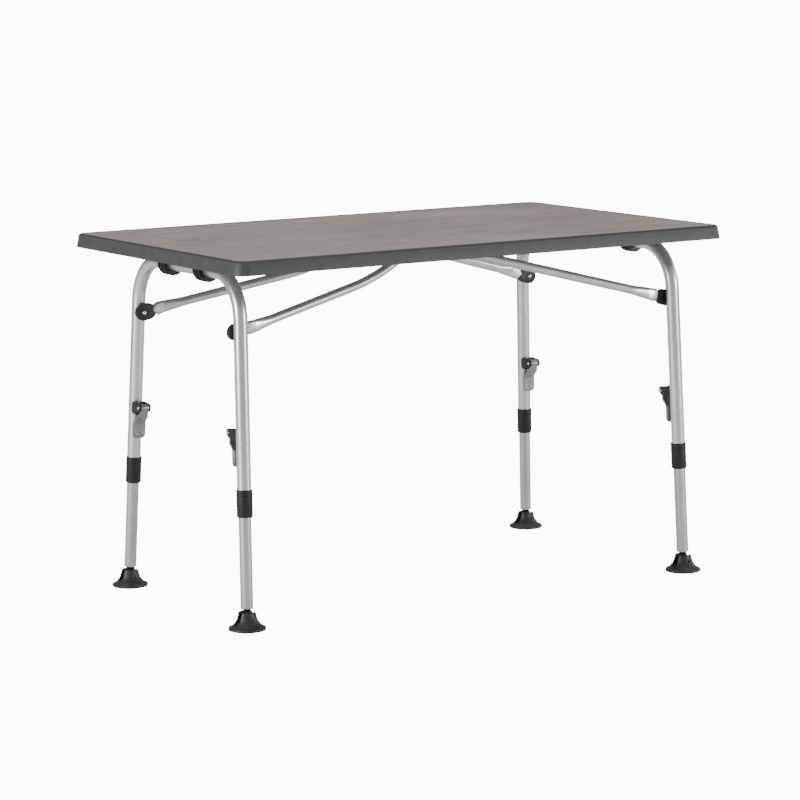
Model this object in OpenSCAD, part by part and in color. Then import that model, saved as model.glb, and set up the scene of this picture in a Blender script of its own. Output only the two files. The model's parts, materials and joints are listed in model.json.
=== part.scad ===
// Folding camping table: a sandwich board in a moulded edge trim, on two bent
// tube leg frames. Each frame turns in two saddles under the board and is held
// open by a bent yoke, and each leg has a telescopic foot tube with a clamp.
// X runs along the table, Y across it, Z up, and the feet stand on Z = 0.

/* [Table top] */
// Length over the edge trim
top_len = 1150; // [1060:10:1400]
// Depth over the edge trim
top_dep = 700; // [660:10:900]
// Height of the finished top above the floor
table_h = 730; // [715:5:750]
// Thickness of the sandwich board
board_t = 20; // [16:1:24]
// Plan radius of the trim's corners
corner_r = 28; // [26:1:80]
// Height of the edge trim
trim_h = 28; // [26:1:36]
// How far the trim leans out towards its lower edge
trim_flare = 5; // [1:0.5:8]
// Wall thickness of the edge trim
trim_wall = 3; // [2:0.5:4]
// Width of the trim's lip over the board
trim_lip = 4.5; // [3:0.5:8]
// Height of the trim's lip over the board
lip_rise = 1.2; // [0.6:0.2:2]
// Width of the trim's flange under the board
trim_under = 12; // [8:1:18]

/* [Leg frames] */
// Outside diameter of the bent leg tube
tube_od = 28; // [26:0.5:30]
// Wall of the leg tube
tube_wall = 1.2; // [1:0.1:1.6]
// Bend radius of the leg tube at its centre line
bow_bend_r = 92; // [70:1:100]
// Distance of each frame's hinge axis from the end of the table
hinge_inset = 82; // [75:1:105]
// Distance of the leg hinge below the board
hinge_drop = 22.8; // [20:0.2:26]
// How far the frames lean out along the table, in degrees
lean = 1.7; // [1:0.1:3]
// Half width of the narrow left frame at its hinge
half_left = 206; // [195:1:212]
// Half width of the wide right frame at its hinge
half_right = 272; // [266:1:285]
// Splay of the left frame's legs, in degrees
splay_left = 3.5; // [2:0.1:4]
// Splay of the right frame's legs, in degrees
splay_right = 1.67; // [1.2:0.01:2.5]
// Height of the table less the length of its leg tubes
leg_free = 268; // [255:1:290]

/* [Hinge saddles] */
// Distance of the left frame's saddles from the middle
saddle_left = 73; // [50:1:90]
// Distance of the right frame's saddles from the middle
saddle_right = 135; // [110:1:150]
// Length of a saddle along the leg tube
saddle_len = 26; // [20:1:34]
// Wall of a saddle between its ribs
saddle_wall = 7.4; // [5:0.2:9]
// Height of the saddle's ribs
rib_h = 2.6; // [1:0.2:3]
// Number of ribs on a saddle
rib_count = 3; // [2:1:4]
// Running clearance of the leg tube in its saddle
saddle_gap = 0.1; // [0.05:0.01:0.1]
// Thickness of the saddle's screw flange
flange_t = 5; // [3:0.5:6]
// Width of the saddle's flange across the tube
flange_w = 84; // [74:1:96]
// Radius of the screws under the board
screw_r = 2; // [1.5:0.1:2.5]
// Radius of a screw head
screw_head_r = 4.2; // [3.5:0.1:5]
// Length of a screw in the board
screw_len = 12; // [8:1:14]

/* [Telescopic feet] */
// Outside diameter of the inner leg tube
inner_od = 25; // [23:0.1:25]
// Wall of the inner leg tube
inner_wall = 1.2; // [1:0.1:1.6]
// Length of the inner leg tube
inner_len = 360; // [345:1:375]
// Height of the inner tube's lower end above the floor
inner_end_z = 41; // [40:0.5:48]
// Length of the crimp at the inner tube's lower end
crimp_len = 6; // [4:0.5:8]
// Radius of the crimped mouth
crimp_r = 9.8; // [9:0.1:10.4]
// Height of the collar at the outer tube's end
collar_h = 54; // [45:1:60]
// Wall of the collar
collar_wall = 1.9; // [1.5:0.1:2.5]
// Rounding of the collar's lower edge
collar_round = 3.2; // [1:0.1:3.2]
// Height of the guide under the outer tube's end
guide_h = 6; // [5:0.5:10]
// Running clearance of the inner tube in the guide
guide_gap = 0.1; // [0.05:0.01:0.1]
// Radius of the foot at the floor
foot_r = 37; // [32:0.5:38]
// Height of the foot's rim
foot_rim = 6; // [5:0.5:8]
// Radius of the foot at its waist
foot_waist = 18.1; // [17.5:0.1:20]
// Height at which the flare ends in the waist
foot_waist_z = 28.5; // [27:0.5:30]
// Height of the foot's two lobes
foot_h = 36; // [34:0.5:38]
// Height of the foot's swivel pin
foot_pin_z = 22; // [20:0.5:23]
// Radius of the swivel pin
foot_pin_r = 2.5; // [2:0.1:3]
// Width of the slot in the foot
foot_slot = 14; // [13.6:0.1:15]
// Radius of the stem's ball
ball_r = 9; // [8:0.1:10]
// Radius of the stem's neck in the slot
neck_r = 5.7; // [5:0.1:5.8]

/* [Leg clamps] */
// Distance of the clamp's pin above the outer tube's end
clamp_up = 157; // [137:1:162]
// Distance of the clamp's pin from the leg's axis
pin_off = 37; // [36:0.5:40]
// Radius of the clamp's pin
pin_r = 2.5; // [2:0.1:3]
// Running clearance of a lever or knuckle on its pin
pin_gap = 0.1; // [0.05:0.01:0.1]
// Radius of the lever's hub
hub_r = 7.5; // [6.5:0.1:8]
// Throw of the lever's cam
cam_throw = 1.2; // [1:0.1:1.5]
// Width of the clamp's base
base_w = 25; // [24:0.5:28]
// Thickness of the base's two ears
ear_t = 3.2; // [2.5:0.1:3.5]
// Play between the lever's hub and each ear
ear_gap = 0.3; // [0.2:0.05:0.5]
// Length of the lever from its pin to its tip
lever_len = 66; // [58:1:75]
// Width of the lever's paddle
paddle_w = 28; // [25:0.5:32]
// Thickness of the lever's paddle
paddle_t = 4; // [3:0.5:4.5]
// Width of the window in the lever
window_w = 11; // [8:0.5:12]
// Radius of the plunger that presses on the inner tube
plunger_r = 4; // [3:0.1:4.5]

/* [Yokes] */
// Outside diameter of the yoke tube
yoke_od = 19; // [17:0.5:20]
// Wall of the yoke tube
yoke_wall = 1.2; // [1:0.1:1.4]
// Distance of the yoke's pivots below the hinge axis
pivot_drop = 111; // [105:1:115]
// Distance of each yoke's crossbar from the middle of the table
cross_x = 40; // [34:1:46]
// Half width of the left yoke at its crossbar
yoke_left = 100; // [90:1:110]
// Half width of the right yoke at its crossbar
yoke_right = 152; // [145:1:160]
// Bend radius of the yokes at their crossbar
yoke_bend_r = 40; // [32:1:44]
// Height of the left yoke's crossbar above the bend in its arms
left_bend_drop = 48; // [44:0.5:52]
// Distance of the left yoke's crossbar from the bend in its arms
left_bend_back = 95.3; // [90:0.1:110]
// Radius of the left yoke's upward bend
left_bend_r = 480; // [300:10:500]
// Height of the yoke's pressed flat ends
flat_h = 25; // [23:0.5:26]
// Thickness of the pressed flat ends
flat_t = 9; // [8:0.5:9.5]
// Radius of the knuckle around its pivot
knuckle_r = 16.5; // [15.5:0.1:17.5]
// Thickness of the knuckle
knuckle_t = 11; // [10.5:0.1:12]
// Gap between the knuckle and the leg
knuckle_gap = 2.4; // [2.2:0.1:3]
// Radius of the pivot rivet
rivet_r = 3; // [2.5:0.1:3.5]
// Distance of the left yoke's clips from the middle
clip_left = 35; // [25:1:42]
// Distance of the right yoke's clips from the middle
clip_right = 60; // [50:1:80]
// Width of a clip along the crossbar
clip_w = 18; // [14:1:22]
// Wall of a clip
clip_wall = 3.2; // [2.5:0.1:3.5]
// Clearance of the crossbar in its clip
clip_gap = 0.3; // [0.25:0.05:0.5]

/* [Hidden] */
$fn = 64;
eps = 0.01;
fit = 0.05;
lap = 1;
LEFT = 0;
RIGHT = 1;
FRONT = false;
REAR = true;
board_top = table_h - lip_rise;
board_bot = board_top - board_t;
trim_bot = table_h - trim_h;
hinge_z = board_bot - hinge_drop;
hinge_x = top_len / 2 - hinge_inset;
// Length of a leg tube from the hinge axis, and the distance down to its clamp's pin
outer_len = table_h - leg_free;
clamp_d = outer_len - clamp_up;
half = [half_left, half_right];
splay = [splay_left, splay_right];
saddle_y = [saddle_left, saddle_right];
clip_y = [clip_left, clip_right];
tube_r = tube_od / 2;
bore_r = tube_r - tube_wall;
inner_r = inner_od / 2;
yoke_r = yoke_od / 2;
cross_z = board_bot - clip_wall - clip_gap - yoke_r;
// The pivot line of a yoke, seen from the leg hinge
pivot_x = pivot_drop * sin(lean);
pivot_z = pivot_drop * cos(lean);
// The crossbar's corner, seen from the pivot line
corner_x = hinge_x + pivot_x - cross_x;
corner_z = cross_z - (hinge_z - pivot_z);
corner_y = [yoke_left, yoke_right];
left_bend_x = corner_x - left_bend_back;
rise = [
    atan2(corner_z - left_bend_drop, left_bend_x),
    atan2(corner_z, corner_x)
];
// The left yoke's bend is kept short enough for the run up to its crossbar
left_turn = atan2(left_bend_drop, left_bend_back) - rise[LEFT];
left_run = norm([left_bend_back, left_bend_drop]) - yoke_bend_r - 2 * lap;
left_bend = min(left_bend_r, left_run / tan(left_turn / 2));
flat_tip = knuckle_r + 4.8;
flat_end = flat_tip + flat_h;
round_start = flat_end + 45;
function leg_half(i) = half[i] + pivot_drop * tan(splay[i]);
function knuckle_face(i) = leg_half(i) - tube_r / cos(splay[i]) - knuckle_gap;
function flat_y(i) = knuckle_face(i) - 1.7 - flat_t / 2;
// Distance along a leg from the hinge axis down to a height
function leg_to(i, z) = (hinge_z - z) / (cos(lean) * cos(splay[i]));

// ---- Places ----

module flip_if(yes, v) {
    if (yes) mirror(v) children();
    else children();
}

// The left frame's hinge, upright, or its mirror image for the right frame
module at_hinge(i) {
    flip_if(i == RIGHT, [1, 0, 0]) translate([-hinge_x, 0, hinge_z]) children();
}

// The plane of a leg frame, which leans out from its hinge
module at_frame(i) {
    at_hinge(i) rotate([0, lean, 0]) children();
}

// A leg: Z runs up its axis from the hinge line, and Y points inwards
module at_leg(i, rear) {
    at_frame(i) flip_if(rear, [0, 1, 0])
        translate([0, -half[i], 0]) rotate([-splay[i], 0, 0]) children();
}

// A clamp's pin height on a leg
module at_clamp(i, rear) {
    at_leg(i, rear) translate([0, 0, -clamp_d]) children();
}

// The swivel pin of a foot, upright
module at_foot(i, rear) {
    at_leg(i, rear) translate([0, 0, -leg_to(i, foot_pin_z)])
        rotate([splay[i], 0, 0]) rotate([0, -lean, 0]) children();
}

// The pivot line of a yoke, upright, with X towards the middle of the table
module at_pivot(i) {
    at_hinge(i) translate([-pivot_x, 0, -pivot_z]) children();
}

// The flat end of a yoke's front arm, with X along the arm
module at_arm_end(i, rear) {
    at_pivot(i) flip_if(rear, [0, 1, 0]) rotate([0, -rise[i], 0]) children();
}

// ---- Shapes that repeat ----

function unit(v) = v / norm(v);
function heading(p, k) = unit(p[k + 1] - p[k]);
function turn(p, k) = acos(heading(p, k - 1) * heading(p, k));
function setback(p, r, k) = k == 0 || k == len(p) - 1 ? 0 : r[k] * tan(turn(p, k) / 2);

// Puts what is drawn along Z at point a, with Z turned towards point b
module aim(a, b) {
    d = b - a;
    translate(a) rotate([0, acos(d[2] / norm(d)), atan2(d[1], d[0])]) children();
}

// A bar of round section along the points p, whose corners are bent by the radii
// in r. The straight runs are a hair wider and lap over the bends.
module bent_bar(p, r, radius, over = 0) {
    last = len(p) - 1;
    for (k = [0 : last - 1]) {
        u = heading(p, k);
        from = p[k] + (k == 0 ? -over : setback(p, r, k) - lap) * u;
        to = p[k + 1] - (k == last - 1 ? -over : setback(p, r, k + 1) - lap) * u;
        aim(from, to) cylinder(h = norm(to - from), r = radius + 0.03);
    }
    for (k = [1 : last - 1]) {
        u = heading(p, k - 1);
        v = heading(p, k);
        inward = unit(v - (u * v) * u);
        centre = p[k] - setback(p, r, k) * u + r[k] * inward;
        z = cross(-inward, u);
        multmatrix([
            [-inward[0], u[0], z[0], centre[0]],
            [-inward[1], u[1], z[1], centre[1]],
            [-inward[2], u[2], z[2], centre[2]],
            [0, 0, 0, 1]
        ])
            rotate_extrude(angle = turn(p, k)) translate([r[k], 0]) circle(r = radius);
    }
}

module bent_tube(p, r, radius, wall) {
    difference() {
        bent_bar(p, r, radius);
        bent_bar(p, r, radius - wall, 1);
    }
}

module rounded_rect(l, w, r) {
    square([l - 2 * r, w], center = true);
    square([l, w - 2 * r], center = true);
    for (x = [-1, 1], y = [-1, 1]) translate([x * (l / 2 - r), y * (w / 2 - r)]) circle(r = r);
}

// Extrudes each outline by itself, centred on its plane, and joins the solids
module slabs(h) {
    for (k = [0 : $children - 1]) linear_extrude(h, center = true) children(k);
}

// A long hole or bar end of height h, from x = a to x = b
module slot_2d(a, b, h) {
    translate([a + h / 2, 0]) circle(d = h);
    translate([b - h / 2, 0]) circle(d = h);
    translate([a + h / 2, -h / 2]) square([b - a - h, h]);
}

// A bar along Y from y = a to y = b
module bar_y(a, b, radius) {
    translate([0, a, 0]) rotate([-90, 0, 0]) cylinder(h = b - a, r = radius);
}

// A bar along X from x = a to x = b
module bar_x(a, b, radius) {
    translate([a, 0, 0]) rotate([0, 90, 0]) cylinder(h = b - a, r = radius);
}

// A pan head screw that points up, with its head's face at z = 0
module pan_screw() {
    cylinder(h = flange_t + screw_len, r = screw_r);
    translate([0, 0, -2.4]) cylinder(h = 2.4, r = screw_head_r);
    translate([0, 0, -3.2]) cylinder(h = 0.8 + eps, r1 = screw_head_r - 1.6, r2 = screw_head_r);
}

// ---- Table top ----

module saddle_screw_places(i) {
    for (s = [-1, 1], y = [-1, 1])
        at_hinge(i) translate([s * (flange_w / 2 - 8), y * saddle_y[i], hinge_drop]) children();
}

module clip_screw_places(i) {
    for (s = [-1, 1], y = [-1, 1])
        flip_if(i == RIGHT, [1, 0, 0])
            translate([-cross_x + s * (yoke_r + 10), y * clip_y[i], board_bot]) children();
}

module tabletop_panel() {
    edge = trim_flare + trim_wall + fit;
    color([0.58, 0.54, 0.52]) difference() {
        translate([0, 0, board_bot])
            linear_extrude(board_t)
                rounded_rect(top_len - 2 * edge, top_dep - 2 * edge, corner_r - edge);
        for (i = [LEFT, RIGHT]) {
            saddle_screw_places(i) cylinder(h = screw_len + 1, r = screw_r + fit);
            clip_screw_places(i) cylinder(h = screw_len + 1, r = screw_r + fit);
        }
    }
}

// The trim's section: x is 0 at the lower outer edge, y is the height
module trim_section() {
    wall_in = -trim_flare - trim_wall;
    polygon([
        [0, trim_bot],
        [0, trim_bot + 2],
        [0.8 * -trim_flare, table_h - 5],
        [-trim_flare - 0.5, table_h - 2.4],
        [-trim_flare - 1.9, table_h - 0.8],
        [-trim_flare - 3.8, table_h],
        [wall_in - trim_lip + 1, table_h],
        [wall_in - trim_lip, board_top],
        [wall_in, board_top],
        [wall_in, board_bot],
        [wall_in - trim_under, board_bot],
        [wall_in - trim_under, board_bot - 2.4],
        [wall_in + 1, board_bot - 2.4],
        [-trim_wall, trim_bot]
    ]);
}

module edge_trim() {
    color([0.34, 0.34, 0.35])
        for (k = [0 : 3]) rotate([0, 0, 90 * k]) {
            out = k % 2 == 0 ? top_len / 2 : top_dep / 2;
            run = (k % 2 == 0 ? top_dep : top_len) - 2 * corner_r;
            translate([out, run / 2, 0])
                rotate([90, 0, 0]) linear_extrude(run) trim_section();
            translate([out - corner_r, run / 2, 0])
                rotate_extrude(angle = 90) translate([corner_r, 0]) trim_section();
        }
}

// ---- Hinge saddles and clips under the board ----

module saddle_outline(radius) {
    intersection() {
        circle(r = radius);
        translate([-radius, -radius]) square([2 * radius, radius]);
    }
    translate([-radius, -1]) square([2 * radius, hinge_drop + 1]);
}

module hinge_saddle(i, rear) {
    body_r = tube_r + saddle_wall;
    pitch = (saddle_len - 4) / (rib_count - 1);
    color([0.13, 0.13, 0.14])
        at_hinge(i) translate([0, (rear ? 1 : -1) * saddle_y[i], 0])
            difference() {
                union() {
                    rotate([90, 0, 0]) linear_extrude(saddle_len, center = true)
                        saddle_outline(body_r);
                    for (k = [0 : rib_count - 1])
                        translate([0, k * pitch - (saddle_len - 4) / 2, 0])
                            rotate([90, 0, 0]) linear_extrude(4, center = true)
                                saddle_outline(body_r + rib_h);
                    translate([-flange_w / 2, -saddle_len / 2, hinge_drop - flange_t])
                        cube([flange_w, saddle_len, flange_t]);
                }
                bar_y(-saddle_len, saddle_len, tube_r + saddle_gap);
                translate([-tube_r - saddle_gap, -saddle_len, 0])
                    cube([2 * (tube_r + saddle_gap), 2 * saddle_len, hinge_drop + 1]);
                for (s = [-1, 1])
                    translate([s * (flange_w / 2 - 8), 0, 0])
                        cylinder(h = hinge_drop + 1, r = screw_r + fit);
            }
}

module saddle_screws() {
    color([0.75, 0.76, 0.78])
        for (i = [LEFT, RIGHT]) saddle_screw_places(i) translate([0, 0, -flange_t]) pan_screw();
}

// An open hook that holds the crossbar and lets it out downwards and inwards
module clip_outline() {
    hook = yoke_r + clip_gap;
    difference() {
        union() {
            circle(r = hook + clip_wall);
            translate([-yoke_r - 15, hook]) square([2 * yoke_r + 30, clip_wall]);
            translate([-hook - clip_wall, 0]) square([hook + clip_wall, hook]);
        }
        circle(r = hook);
        polygon([[0, 0], [-30, -52], [60, -60], [60, hook], [4, hook]]);
    }
}

module yoke_clip(i, rear) {
    color([0.13, 0.13, 0.14])
        flip_if(i == RIGHT, [1, 0, 0])
            translate([-cross_x, (rear ? 1 : -1) * clip_y[i], cross_z])
                difference() {
                    rotate([90, 0, 0]) linear_extrude(clip_w, center = true) clip_outline();
                    for (s = [-1, 1]) translate([s * (yoke_r + 10), 0, 0])
                        cylinder(h = 2 * yoke_od, r = screw_r + fit);
                }
}

module clip_screws() {
    color([0.75, 0.76, 0.78])
        for (i = [LEFT, RIGHT]) clip_screw_places(i) translate([0, 0, -clip_wall]) {
            cylinder(h = clip_wall + screw_len, r = screw_r);
            translate([0, 0, -2]) cylinder(h = 2, r = screw_head_r);
        }
}

// ---- Leg frames ----

module leg_bow(i) {
    leg = outer_len * [0, sin(splay[i]), -cos(splay[i])];
    path = [
        [0, -half[i] - leg[1], leg[2]],
        [0, -half[i], 0],
        [0, half[i], 0],
        [0, half[i] + leg[1], leg[2]]
    ];
    color([0.76, 0.77, 0.77]) difference() {
        at_frame(i) bent_tube(path, [0, bow_bend_r, bow_bend_r, 0], tube_r, tube_wall);
        for (rear = [FRONT, REAR]) {
            at_pivot(i) flip_if(rear, [0, 1, 0])
                bar_y(-leg_half(i), -knuckle_face(i), rivet_r + fit);
            at_clamp(i, rear) bar_y(0, 2 * tube_r, plunger_r + 0.3);
            at_clamp(i, rear) translate([0, 0, -11]) bar_y(0, 2 * tube_r, 1.5 + fit);
        }
    }
}

// A pivot rivet per leg: inner head, shoulder, shank and domed outer head
module pivot_rivets(i) {
    face = knuckle_face(i);
    wall_in = -leg_half(i) + bore_r / cos(splay[i]);
    color([0.75, 0.76, 0.78])
        for (rear = [FRONT, REAR]) at_pivot(i) flip_if(rear, [0, 1, 0]) {
            bar_y(wall_in - 1.6, -face + knuckle_t + 1, rivet_r);
            bar_y(wall_in - 3, wall_in - 1, rivet_r + 1.5);
            bar_y(-face - knuckle_gap + 0.5, -face - 0.4, rivet_r + 2);
            translate([0, -face + knuckle_t + 0.4, 0]) rotate([-90, 0, 0]) {
                cylinder(h = 1.2, r = rivet_r + 2.8);
                translate([0, 0, 1.2]) cylinder(h = 1.3, r1 = rivet_r + 2.8, r2 = rivet_r);
            }
        }
}

module collar(i, rear) {
    r_out = tube_r + collar_wall;
    color([0.15, 0.15, 0.16])
        at_leg(i, rear) translate([0, 0, -outer_len - guide_h]) rotate_extrude() {
            difference() {
                union() {
                    square([r_out - collar_round, collar_round]);
                    translate([r_out - collar_round, collar_round]) circle(r = collar_round);
                    translate([0, collar_round]) square([r_out, collar_h - collar_round]);
                    translate([0, collar_h - 2.4]) square([r_out + 0.6, 2.4]);
                    for (k = [1 : 2])
                        translate([r_out, collar_h - 3 - 4 * k]) circle(r = 0.6);
                }
                square([inner_r + guide_gap, guide_h]);
                translate([0, guide_h]) square([tube_r + fit, collar_h]);
            }
        }
}

// ---- Leg clamps ----

module clamp_base(i, rear) {
    color([0.14, 0.14, 0.15])
        at_clamp(i, rear) difference() {
            rotate([90, 0, 90]) slabs(base_w) {
                translate([8, -15]) square([17, 24]);
                polygon([[24, -13], [24, 9], [27, 9], [pin_off, hub_r], [pin_off, -hub_r]]);
                translate([pin_off, 0]) circle(r = hub_r);
            }
            translate([-base_w / 2 + ear_t, 25, -20]) cube([base_w - 2 * ear_t, 30, 40]);
            translate([0, 0, -20]) cylinder(h = 40, r = tube_r + fit);
            bar_y(0, 30, plunger_r + 0.15);
            translate([0, 0, -11]) bar_y(0, 30, 1.5 + fit);
            translate([0, pin_off, 0]) bar_x(-base_w, base_w, pin_r + fit);
        }
}

module base_rivets(i) {
    color([0.7, 0.71, 0.73])
        for (rear = [FRONT, REAR]) at_clamp(i, rear) translate([0, 0, -11]) {
            bar_y(bore_r + 0.2, 25.2, 1.5);
            bar_y(25, 26.2, 3);
        }
}

module lever_pins(i) {
    out = base_w / 2;
    color([0.82, 0.83, 0.84])
        for (rear = [FRONT, REAR]) at_clamp(i, rear) translate([0, pin_off, 0]) {
            bar_x(-out - 2, out + 1.8, pin_r);
            bar_x(-out - 2.2, -out - 0.1, pin_r + 1.5);
            bar_x(out + 0.1, out + 1.6, pin_r + 0.8);
        }
}

// The lever's side view bends in from the pin to lie along the leg
paddle_y = tube_r + 3 + paddle_t;
arm_top = 8;
function ease(t) = t * t * (3 - 2 * t);
function lever_back(t) = paddle_y + (pin_off + 4 - paddle_y) * (1 - ease(t));
function lever_drop(t) = arm_top + t * (0.58 * lever_len - arm_top);

module lever_side() {
    steps = [0 : 0.1 : 1];
    back = [for (t = steps) [lever_back(t), -lever_drop(t)]];
    face = [for (t = steps) [lever_back(1 - t) - paddle_t - 2.2 * t, -lever_drop(1 - t)]];
    slabs(2 * paddle_w) {
        translate([pin_off, 0]) circle(r = hub_r);
        translate([pin_off - cam_throw, 0]) circle(r = hub_r);
        polygon(concat(
            [[pin_off + hub_r - 0.6, -2]],
            back,
            [[paddle_y, -lever_len], [paddle_y - paddle_t, -lever_len]],
            face,
            [[pin_off - 5, -4]]
        ));
    }
}

// The lever seen from the middle of the table, with its window
module lever_front() {
    hub_w = base_w - 2 * ear_t - 2 * ear_gap;
    half_w = [hub_w, base_w, paddle_w] / 2;
    round_r = 8;
    tip = lever_len - round_r;
    difference() {
        slabs(60) {
            polygon([
                [-half_w[0], 12], [half_w[0], 12], [half_w[0], -14], [half_w[1], -19],
                [half_w[1], -30], [half_w[2], -38], [half_w[2], -tip],
                [half_w[2] - round_r, -tip], [half_w[2] - round_r, -lever_len],
                [-half_w[2] + round_r, -lever_len], [-half_w[2] + round_r, -tip],
                [-half_w[2], -tip], [-half_w[2], -38], [-half_w[1], -30],
                [-half_w[1], -19], [-half_w[0], -14]
            ]);
            translate([half_w[2] - round_r, -tip]) circle(r = round_r);
            translate([round_r - half_w[2], -tip]) circle(r = round_r);
        }
        rotate(-90) linear_extrude(61, center = true) slot_2d(12, 32, window_w);
    }
}

module clamp_lever(i, rear) {
    color([0.62, 0.63, 0.64])
        at_clamp(i, rear) difference() {
            intersection() {
                rotate([90, 0, 90]) lever_side();
                translate([0, 30, 0]) rotate([90, 0, 0]) lever_front();
            }
            translate([0, pin_off, 0]) bar_x(-paddle_w, paddle_w, pin_r + pin_gap);
        }
}

module clamp_plunger(i, rear) {
    tip = bore_r + fit;
    tail = pin_off - cam_throw - hub_r - 0.3;
    color([0.85, 0.85, 0.82])
        at_clamp(i, rear) {
            bar_y(tip, tail, plunger_r);
            bar_y(tail - 1.8, tail, plunger_r + 1.4);
        }
}

// ---- Telescopic feet ----

module inner_tube(i, rear) {
    bore = inner_r - inner_wall;
    color([0.72, 0.73, 0.73])
        at_leg(i, rear) translate([0, 0, -leg_to(i, inner_end_z)])
            rotate_extrude() {
                translate([bore, crimp_len]) square([inner_wall, inner_len - crimp_len]);
                polygon([
                    [crimp_r, 0], [crimp_r + inner_wall, 0],
                    [inner_r - 0.5, crimp_len * 0.45], [inner_r, crimp_len],
                    [bore, crimp_len], [bore - 0.5, crimp_len * 0.6]
                ]);
            }
}

// The stem: a plug in the inner tube, a neck and a ball with two flat sides
module foot_stem(i, rear) {
    down = leg_to(i, foot_pin_z) - leg_to(i, inner_end_z);
    color([0.10, 0.10, 0.11])
        difference() {
            union() {
                at_leg(i, rear) translate([0, 0, -leg_to(i, inner_end_z)]) rotate_extrude()
                    polygon([
                        [0, -down], [neck_r, -down], [neck_r, -7],
                        [crimp_r - 0.6, -0.8], [crimp_r - 0.1, 0], [crimp_r - 0.1, 2],
                        [inner_r - inner_wall - 0.9, crimp_len * 0.75],
                        [inner_r - inner_wall - 0.1, crimp_len + 1],
                        [inner_r - inner_wall - 0.1, 26], [0, 26]
                    ]);
                at_foot(i, rear) intersection() {
                    sphere(r = ball_r);
                    cube([4 * ball_r, foot_slot - 1.4, 4 * ball_r], center = true);
                }
            }
            at_foot(i, rear) bar_y(-foot_r, foot_r, foot_pin_r + pin_gap);
        }
}

// The foot's bell: a rim, a hollow flare up to the waist, and two lobes
module foot_section() {
    flare_x = foot_r + 4.5;
    flare_r = flare_x - foot_waist;
    polygon([
        [0, 0], [foot_r - 1.5, 0], [foot_r, 1.5], [foot_r, foot_rim - 1.5],
        [foot_r - 2, foot_rim], [0, foot_rim]
    ]);
    difference() {
        polygon([
            [0, foot_rim - 1], [foot_r - 2, foot_rim - 1], [foot_r - 2, foot_waist_z],
            [foot_waist, foot_waist_z], [foot_waist - 1.6, foot_h], [0, foot_h]
        ]);
        translate([flare_x, foot_waist_z]) circle(r = flare_r);
    }
}

module foot(i, rear) {
    slot_bottom = foot_pin_z - ball_r - 3.5;
    color([0.23, 0.23, 0.24])
        at_foot(i, rear) difference() {
            translate([0, 0, -foot_pin_z]) difference() {
                rotate_extrude() foot_section();
                translate([0, 0, -1]) cylinder(h = 2.2, r = foot_r - 9);
                translate([-foot_r, -foot_slot / 2, slot_bottom + foot_slot / 2])
                    cube([2 * foot_r, foot_slot, foot_h]);
                translate([0, 0, slot_bottom + foot_slot / 2])
                    bar_x(-foot_r, foot_r, foot_slot / 2);
                translate([0, 0, foot_h - 5])
                    cylinder(h = 5 + eps, r1 = foot_slot / 2, r2 = foot_waist - 3);
            }
            bar_y(-foot_r, foot_r, foot_pin_r + fit);
        }
}

module foot_pin(i, rear) {
    color([0.7, 0.71, 0.73])
        at_foot(i, rear) bar_y(2 - foot_waist, foot_waist - 2, foot_pin_r);
}

// ---- Yokes ----

// The front arm's centre line, at a distance d along the arm from its pivot
function arm_y(i, d) = -flat_y(i)
    + (flat_y(i) - corner_y[i]) * (d - flat_end) / (corner_x / cos(rise[i]) - flat_end);
function arm_point(i, d) = [d * cos(rise[i]), arm_y(i, d), d * sin(rise[i])];

// The pressed end seen from above: flat at its tip, then as wide as the tube
module pressed_plan(i, grow, reach) {
    half_t = flat_t / 2 + grow;
    wide = yoke_r + grow + 0.3;
    start = arm_point(i, round_start);
    shift = start[1] + flat_y(i);
    polygon([
        [flat_tip - 1 - reach, -half_t], [flat_end, -half_t], [round_start + 2, shift - wide],
        [round_start + 2, shift + wide], [flat_end, half_t], [flat_tip - 1 - reach, half_t]
    ]);
}

// The pressed end: flat from its round tip, then blended into the round tube
module pressed_end(i, grow, reach) {
    half_h = flat_h / 2 + grow;
    run = round_start - flat_end;
    rotate([0, -rise[i], 0]) translate([0, -flat_y(i), 0]) intersection() {
        translate([0, 0, -flat_h]) linear_extrude(2 * flat_h) pressed_plan(i, grow, reach);
        union() {
            translate([0, flat_h, 0]) rotate([90, 0, 0]) linear_extrude(2 * flat_h)
                slot_2d(flat_tip - grow - reach, flat_end + half_h, 2 * half_h);
            rotate([0, 0, atan2(arm_y(i, round_start) + flat_y(i), run)])
                translate([flat_end, 0, 0])
                    rotate([0, 90, 0])
                        cylinder(h = run + 4, r1 = half_h - 0.3, r2 = yoke_r + grow - 0.1);
        }
    }
}

function yoke_path(i) =
    let (front = concat(
        [arm_point(i, round_start)],
        i == LEFT ? [arm_point(i, left_bend_x / cos(rise[i]))] : [],
        [[corner_x, -corner_y[i], corner_z]]
    ))
    concat(front, [for (k = [len(front) - 1 : -1 : 0]) [front[k][0], -front[k][1], front[k][2]]]);

function yoke_radii(i) = i == LEFT
    ? [0, left_bend, yoke_bend_r, yoke_bend_r, left_bend, 0]
    : [0, yoke_bend_r, yoke_bend_r, 0];

module yoke(i) {
    color([0.70, 0.71, 0.71])
        at_pivot(i) difference() {
            union() {
                bent_bar(yoke_path(i), yoke_radii(i), yoke_r);
                for (rear = [FRONT, REAR]) flip_if(rear, [0, 1, 0]) pressed_end(i, 0, 0);
            }
            bent_bar(yoke_path(i), yoke_radii(i), yoke_r - yoke_wall, 0.5);
            for (rear = [FRONT, REAR]) flip_if(rear, [0, 1, 0]) pressed_end(i, -yoke_wall, 6);
        }
}

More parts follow.
